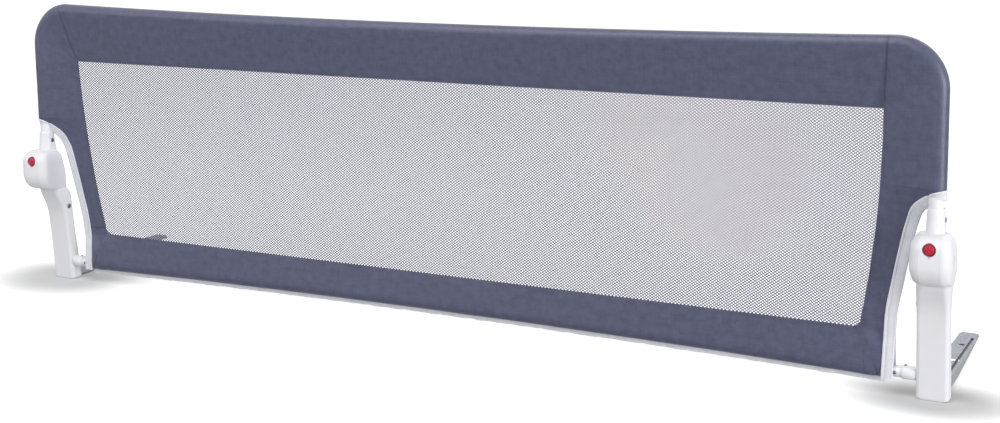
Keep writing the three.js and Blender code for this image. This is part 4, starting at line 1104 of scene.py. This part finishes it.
def net_lines():
    """Every thread of both families as a list of places."""
    lines = []
    low, high = WINDOW_LOW - NET_EDGE, WINDOW_TOP + NET_EDGE
    slope = NET_WIDTH / NET_HEIGHT
    reach = TUBE_X + slope * (high - low)
    levels = sorted({low, high, *np.linspace(low + 4, BEND_LOW - 4, 8), *np.linspace(BEND_LOW, BEND_HIGH, 20),
                     *np.linspace(BEND_HIGH + 12, WINDOW_TOP - 12, 4)})
    borders = [net_half(z) for z in levels]
    for way in (-1, 1):
        for k in range(int(2 * reach / NET_WIDTH) + 1):
            start = -reach + k * NET_WIDTH + (NET_WIDTH / 4) * (way > 0)
            inside, previous = [], None
            for z, border in zip(levels, borders):
                x = start + (way * slope + NET_SKEW) * (z - low)
                now = border - abs(x)
                if previous is not None and (now >= 0) != (previous[2] >= 0):
                    t = previous[2] / (previous[2] - now)
                    inside.append((mix(previous[0], x, t), mix(previous[1], z, t)))
                if now >= 0:
                    inside.append((x, z))
                previous = (x, z, now)
            if len(inside) > 1 and math.dist(inside[0], inside[-1]) > SHORTEST:
                lines.append([(x, lean(z) + way * THREAD * THREAD_OFF, z) for x, z in inside])
    return lines


def bare_lines(name, lines):
    """An object of edges along lines of places."""
    points, edges = [], []
    for line in lines:
        first = len(points)
        points += line
        edges += [(k, k + 1) for k in range(first, len(points) - 1)]
    return make_object(name, points, edges=edges)


def open_group(name, **inputs):
    """A Geometry Nodes group with these inputs and a finish, and one geometry as its result."""
    group = bpy.data.node_groups.new(name, "GeometryNodeTree")
    for label, kind in {**inputs, "Finish": "Material"}.items():
        group.interface.new_socket(label, in_out="INPUT", socket_type="NodeSocket" + kind)
    group.interface.new_socket("Result", in_out="OUTPUT", socket_type="NodeSocketGeometry")
    tree = Tree(group)
    return tree, tree.add("NodeGroupInput").outputs


def close_group(tree, start, made):
    """Makes instances real, sets the finish and hands the geometry out."""
    real = tree.add("GeometryNodeRealizeInstances", {"Geometry": made})
    dressed = tree.add("GeometryNodeSetMaterial", {"Geometry": real.outputs["Geometry"],
                                                   "Material": start["Finish"]})
    tree.add("NodeGroupOutput", {"Result": dressed.outputs["Geometry"]})
    return tree.tree


def run_tree(obj, group, **values):
    """Runs a node tree on an object with named inputs, and keeps the plain mesh that it makes."""
    made = obj.modifiers.new("nodes", "NODES")
    made.node_group = group
    for item in group.interface.items_tree:
        if item.in_out == "INPUT" and item.name in values:
            made[item.identifier] = values[item.name]
    return bake_modifiers(obj)


def thread_tree():
    tree, start = open_group("threads_from_lines", Lines="Geometry", Radius="Float", Sides="Int")
    curves = tree.add("GeometryNodeMeshToCurve", {"Mesh": start["Lines"]})
    ring = tree.add("GeometryNodeCurvePrimitiveCircle", {"Resolution": start["Sides"],
                                                         "Radius": start["Radius"]})
    swept = tree.add("GeometryNodeCurveToMesh", {"Curve": curves.outputs["Curve"],
                                                 "Profile Curve": ring.outputs["Curve"], "Fill Caps": True})
    return close_group(tree, start, swept.outputs["Mesh"])


wires_of_net = net_lines()
net = bare_lines("net", wires_of_net)
print("net threads:", len(wires_of_net), "points:", len(net.data.vertices))
run_tree(net, thread_tree(), Radius=THREAD / 2 * MM, Sides=4, Finish=net_thread)
smooth_shading(net, 95.0)

# %% [markdown]
# ## Screws
# All fasteners have the same kind of head: a low dome with a cross-shaped recess. One head and one shank are
# modelled at a radius of one, and a Geometry Nodes tree puts them on points. Each point carries a direction, the
# head's size and the shank's size as attributes, so one tree serves every screw, bolt and stud.

# %% One head, one shank and a tree that places them
def plain(name, rings, join=1e-6):
    return outward(make_object(name, *stack(rings), in_metres=True), join)


def unit_head():
    dome = plain("screw_head", lathe([(0.01, 0.0), (0.97, 0.0), (1.0, 0.06), (0.99, 0.3), (0.88, 0.66),
                                      (0.62, 0.9), (0.3, 0.99), (0.01, 1.0)], 32))
    for length, width in ((0.52, 0.11), (0.11, 0.52)):
        corners = [(-length, -width), (length, -width), (length, width), (-length, width)]
        carve(dome, plain("bar", [[(x, y, z) for x, y in corners] for z in (0.35, 1.6)]))
    return smooth_shading(dome, 35.0)


def screw_tree():
    tree, start = open_group("screws_on_points", Places="Geometry", Head="Object", Shank="Object")
    aim = tree.add("GeometryNodeInputNamedAttribute", {"Name": "aim"}, data_type="FLOAT_VECTOR")
    turn = tree.add("FunctionNodeAlignRotationToVector", {"Vector": aim.outputs["Attribute"]}, axis="Z")
    both = tree.add("GeometryNodeJoinGeometry")
    for piece in ("Head", "Shank"):
        scale = tree.add("GeometryNodeInputNamedAttribute", {"Name": piece.lower()}, data_type="FLOAT_VECTOR")
        shape = tree.add("GeometryNodeObjectInfo", {"Object": start[piece]})
        placed = tree.add("GeometryNodeInstanceOnPoints", {
            "Points": start["Places"], "Instance": shape.outputs["Geometry"],
            "Rotation": turn.outputs["Rotation"], "Scale": scale.outputs["Attribute"]})
        tree.feed(both, {"Geometry": placed.outputs["Instances"]})
    return close_group(tree, start, both.outputs["Geometry"])


def place_screws(name, rows):
    """Rows of place, direction, head radius and height, shank radius and length, all in millimetres."""
    places, aims, heads, shanks = zip(*rows)
    screws = make_object(name, places)
    keep_values(screws, "aim", aims)
    for label, sizes in (("head", heads), ("shank", shanks)):
        keep_values(screws, label, [(radius * MM, radius * MM, length * MM) for radius, length in sizes])
    run_tree(screws, screws_on_points, Head=head, Shank=shank, Finish=screw_steel)
    return smooth_shading(screws, 35.0)


head, screws_on_points = unit_head(), screw_tree()
shank = smooth_shading(plain("screw_shank", lathe([(1.0, 0.0), (1.0, -1.0)], 20), 1e-5))
STUD_X = TUBE_X - 46.0
LEG_SCREW_Y, LEG_SCREW_Z = 17.0, 114.0
NECK_BOLT_Y, NECK_BOLT_Z = 0.4, 216.0
on_legs, on_frame = [], []
for _, side in SIDES:
    on_legs += [
        ((side * FERRULE_START, LEG_SCREW_Y, LEG_SCREW_Z), (-side, 0, 0), (3.6, 1.2), (2.0, LEG_WALL - 0.3)),
        ((side * (FERRULE_START - FERRULE_LENGTH + 3.4), LOW_Y, LOW_Z + LOW_RADIUS + 1.0 + 2 * GAP), (0, 0, 1),
         (1.7, 1.0), (1.0, 3.5)),
        ((side * STUD_X, LOW_Y - LOW_RADIUS - GAP, LOW_Z + bow(STUD_X)), (0, -1, 0), (2.4, 1.2), (1.0, 2.3))]
    on_frame.append(((side * TUBE_X + 10.1, NECK_BOLT_Y, NECK_BOLT_Z), (1, 0, 0), (3.2, 1.1), (2.0, 20.0)))
leg_screws = place_screws("screws_on_legs", on_legs)
frame_screws = place_screws("screws_on_frame", on_frame)
for spare in (head, shank):
    bpy.data.objects.remove(spare)
print("screws placed:", len(on_legs) + len(on_frame))

# %% [markdown]
# ## Stitches
# A lockstitch shows as a row of short thread pieces, each pulled down at its ends. One bead of thread is placed
# every few millimetres along the sewing lines by another small tree, which turns each bead along its line.

# %% Sewing lines
STITCH, STITCH_LENGTH, STITCH_RADIUS = 3.4, 2.652, 0.32
SEAM_SIDE, WINDOW_SIDE, TAPE_SIDE = 2.2, 3.0, 4.4


def unit_stitch():
    """One bead of thread along x."""
    rings = lathe([(STITCH_RADIUS * radius * MM, along * STITCH_LENGTH * MM) for along, radius in (
        (-0.5, 0.3), (-0.42, 0.75), (-0.2, 1.0), (0.2, 1.0), (0.42, 0.75), (0.5, 0.3))], 6)
    return smooth_shading(plain("stitch", [np.roll(ring, 1, axis=1) for ring in rings], 1e-7))


def stitch_tree():
    tree, start = open_group("stitches_along_lines", Lines="Geometry", Pitch="Float", Stitch="Object")
    curves = tree.add("GeometryNodeMeshToCurve", {"Mesh": start["Lines"]})
    places = tree.add("GeometryNodeResampleCurve", {"Curve": curves.outputs["Curve"], "Length": start["Pitch"]},
                      mode="LENGTH")
    tangent = tree.add("GeometryNodeInputTangent")
    turn = tree.add("FunctionNodeAlignRotationToVector", {"Vector": tangent.outputs["Tangent"]}, axis="X")
    bead = tree.add("GeometryNodeObjectInfo", {"Object": start["Stitch"]})
    rows = tree.add("GeometryNodeInstanceOnPoints", {
        "Points": places.outputs["Curve"], "Instance": bead.outputs["Geometry"],
        "Rotation": turn.outputs["Rotation"]})
    return close_group(tree, start, rows.outputs["Instances"])


def on_cloth(x, z, way):
    """A place on the cover's front (-1) or back (1), half sunk into the cloth."""
    axis = TOP_Z - bow(x)
    top = drop_half(axis - z, axis - WINDOW_TOP, SLEEVE) if z > WINDOW_TOP - 1 else 0.0
    side = side_half(x, z) if abs(x) > TUBE_X - INSET_LOW - 30 else 0.0
    low = hem_half(x, z) if z < WINDOW_LOW + 1 else 0.0
    return (x, middle_y(x, z) + way * (max(side, top, low, THIN) + 0.05), z)


def window_line(out):
    """A line round the window, a distance outside its edge."""
    line = [(x, WINDOW_TOP + out) for x in np.linspace(0, TUBE_X - INSET_TOP + out, 60)]
    line += [(TUBE_X - window_inset(z) + out, z) for z in np.linspace(WINDOW_TOP, WINDOW_CORNER_Z, 30)[1:]]
    for t in np.arange(1, 9) / 8:
        x, z = window_corner(t)
        line.append((x + out * (1 - t), z - out * t))
    line += [(x, WINDOW_LOW - out) for x in np.linspace(WINDOW_CORNER_X, 0, 60)[1:]]
    return line + [(-x, z) for x, z in reversed(line[1:-1])]


def sewing(name, lines, material):
    """Lines are lists of millimetre places; a closed one repeats its first place at its end."""
    sewn = run_tree(bare_lines(name, lines), stitches_along_lines, Pitch=STITCH * MM, Stitch=bead_of_thread,
                    Finish=material)
    return smooth_shading(sewn, 60.0)


bead_of_thread, stitches_along_lines = unit_stitch(), stitch_tree()
edge_line = [p for p in spaced(cut_line, lambda p: 3.0) if p[0] < TUBE_X - 12 and p[1] > 24]
beside_edge = [(x + nx * TAPE_SIDE, z + nz * TAPE_SIDE) for x, z, nx, nz in with_normals(edge_line)]
dark_lines, white_lines = [], []
for way in (-1, 1):
    ring = [on_cloth(x, z, way) for x, z in window_line(WINDOW_SIDE)]
    dark_lines.append(ring + [ring[0]])
    for _, side in SIDES:
        for aside in (-SEAM_SIDE, SEAM_SIDE):
            dark_lines.append([on_cloth(seam_foot(side, t) + aside, mix(WINDOW_TOP, TOP_Z + SLEEVE, t), way)
                               for t in np.linspace(0.06, 0.8, 14)])
        white_lines.append([(side * x, middle_y(x, z) + way * (max(side_half(x, z), BINDING_HALF) + 0.5), z)
                            for x, z in beside_edge])
cloth_stitches = sewing("stitches_on_cover", dark_lines, stitch_dark)
tape_stitches = sewing("stitches_on_binding", white_lines, stitch_white)
bpy.data.objects.remove(bead_of_thread)
print("stitch faces:", len(cloth_stitches.data.polygons), len(tape_stitches.data.polygons))

# %% [markdown]
# ## Floor, light and camera
# The floor is pale and keeps the soft shadow under the feet. Everywhere else it glows for the camera, as the
# background does, and round each foot that glow fades out, which paints a broader soft shadow there. Large lamps
# above, in front and low beside the rail light it evenly, so colours come out as they are written. The camera
# stands where the photographer stood, a little to the right and just above the rail.

# %% Floor, lamps and world
FLOOR_SIZE, FLOOR_GREY, FLOOR_GLOW = 12.0, 0.54, 0.76
# Side, reach along x, y and z in metres, and the glow that is left at the foot; the fade paints a soft shadow
# round each foot.
FOOT_PAINTED_SHADOWS = ((-1, (0.17, 0.14, 1.0), 0.09), (1, (0.14, 0.095, 1.0), 0.05))
SKY_LIGHT = 0.48
LAMPS = (("overhead", (-0.3, -1.25, 2.15), 1.7, 28.0), ("side", (3.1, -1.2, 0.3), 1.2, 68.0),
         ("fill", (-1.9, -2.3, 1.2), 1.8, 12.0), ("rim", (0.2, 1.9, 1.9), 1.6, 9.0))


def pale_floor():
    s = FLOOR_SIZE
    floor = make_object("floor", [(-s, -s, 0), (s, -s, 0), (s, s, 0), (-s, s, 0)], [(0, 1, 2, 3)],
                        in_metres=True)
    material, tree, shader = new_finish("pale_floor", (FLOOR_GREY, FLOOR_GREY, FLOOR_GREY, 1), 0.9)
    path, place = tree.add("ShaderNodeLightPath"), tree.place()
    # Round each foot the glow fades, which paints a soft shadow on the floor there.
    painted_shadow_fades = []
    for side, reach, least in FOOT_PAINTED_SHADOWS:
        foot = tuple(to_row([(side * TUBE_X, 24, 0)])[0])
        away = tree.add("ShaderNodeVectorMath", {0: place, 1: foot}, operation="SUBTRACT")
        spread = tree.add("ShaderNodeVectorMath", {0: away.outputs[0], 1: reach}, operation="DIVIDE")
        far = tree.add("ShaderNodeVectorMath", {0: spread.outputs[0]}, operation="LENGTH")
        painted_shadow_fades.append(tree.span(far.outputs["Value"], 0.25, 1.0, (least, FLOOR_GLOW),
                               interpolation_type="SMOOTHSTEP"))
    glow = tree.add("ShaderNodeEmission", {"Color": (1, 1, 1, 1), "Strength": tree.math("MINIMUM", *painted_shadow_fades)})
    added = tree.add("ShaderNodeAddShader", {0: shader.outputs[0], 1: glow.outputs[0]})
    seen = tree.math("MAXIMUM", path.outputs["Is Camera Ray"], path.outputs["Is Transmission Ray"])
    choice = tree.add("ShaderNodeMixShader", {0: seen, 1: shader.outputs[0], 2: added.outputs[0]})
    tree.feed(material.node_tree.nodes["Material Output"], {"Surface": choice.outputs[0]})
    floor.data.materials.append(material)


def light_sky():
    world = scene.world = bpy.data.worlds.new("studio")
    world.use_nodes = True
    sky = Tree(world.node_tree)
    path = sky.add("ShaderNodeLightPath")
    seen = sky.math("MAXIMUM", path.outputs["Is Camera Ray"], path.outputs["Is Glossy Ray"])
    sky.feed(world.node_tree.nodes["Background"], {"Color": (1, 1, 1, 1),
                                                   "Strength": sky.span(seen, to=(SKY_LIGHT, 1.0))})


pale_floor()
light_sky()
for name, spot, size, power in LAMPS:
    lamp = bpy.data.lights.new(name, "AREA")
    lamp.size, lamp.energy = size, power
    obj = bpy.data.objects.new(name, lamp)
    obj.location = spot
    obj.rotation_euler = (Vector((0, 0, 0.2)) - Vector(spot)).to_track_quat("-Z", "Y").to_euler()
    scene.collection.objects.link(obj)
scene.view_settings.view_transform = "Standard"

# %% The camera
YAW, PITCH, ROLL = 0.4833, 0.13347, -0.00963
CAMERA_PLACE = (985.96, -1736.28, 592.94)
FOCAL, CENTRE_X, CENTRE_Y = 1559.3, 476.14, 90.0
WIDTH, HEIGHT = 1000.0, 423.0

ahead = Vector((-math.sin(YAW) * math.cos(PITCH), math.cos(YAW) * math.cos(PITCH), -math.sin(PITCH)))
right = Vector((math.cos(YAW), math.sin(YAW), 0))
up = right.cross(ahead)
lens = bpy.data.cameras.new("camera")
lens.sensor_width = 36.0
lens.lens = FOCAL * lens.sensor_width / WIDTH
lens.shift_x, lens.shift_y = (WIDTH / 2 - CENTRE_X) / WIDTH, (CENTRE_Y - HEIGHT / 2) / WIDTH
camera = bpy.data.objects.new("camera", lens)
scene.collection.objects.link(camera)
turn = Matrix((math.cos(ROLL) * right + math.sin(ROLL) * up, math.cos(ROLL) * up - math.sin(ROLL) * right,
               -ahead)).transposed()
camera.matrix_world = Matrix.Translation(Vector(to_row([CAMERA_PLACE])[0])) @ turn.to_4x4()
scene.camera = camera
print("lens in mm:", round(lens.lens, 2))

# %% [markdown]
# ## Putting it on the frame
# The cover crosses the hinge. It stays where it is built, with its binding, tape, net and stitches, and rides on
# no body; the model's nodes that these pieces stand for are hidden. The screws ride on the legs and the frame.

# %% The cover keeps its place across the hinge
FOLD_LOW, FOLD_HIGH = 148.0, 198.0


def bend_at_hinge(obj, slot, *nodes):
    start, end = (tuple(to_row([(0, 0, z)])[0]) for z in (FOLD_LOW, FOLD_HIGH))
    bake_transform(obj)
    return carry(obj, None, slot, *nodes)


bend_at_hinge(cover, "cover_cloth", "cover_upper", "cover_lower")
bend_at_hinge(bindings[0], "binding", "binding_upper_left")
bend_at_hinge(bindings[1], "binding", "binding_upper_right")
bend_at_hinge(tape, "binding", "binding_lower")
bend_at_hinge(net, "net", "net_upper", "net_lower")
bend_at_hinge(cloth_stitches, "cover_cloth")
bend_at_hinge(tape_stitches, "binding")
carry(leg_screws, BODY_LEGS, "screw_steel", *(f"{kind}_{label}" for kind in (
    "leg_screw", "ferrule_screw", "cover_stud") for label, _ in SIDES))
carry(frame_screws, BODY_FRAME, "screw_steel", "neck_bolt_left", "neck_bolt_right")
print("the cover bends between", FOLD_LOW, "and", FOLD_HIGH, "mm")

# %% Plain finishes for the model's own nodes
for name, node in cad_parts.items():
    for start, finish in (("leg_back", white_plastic), ("pivot_pin", white_paint)):
        if name.startswith(start):
            node.data.materials.clear()
            node.data.materials.append(finish)
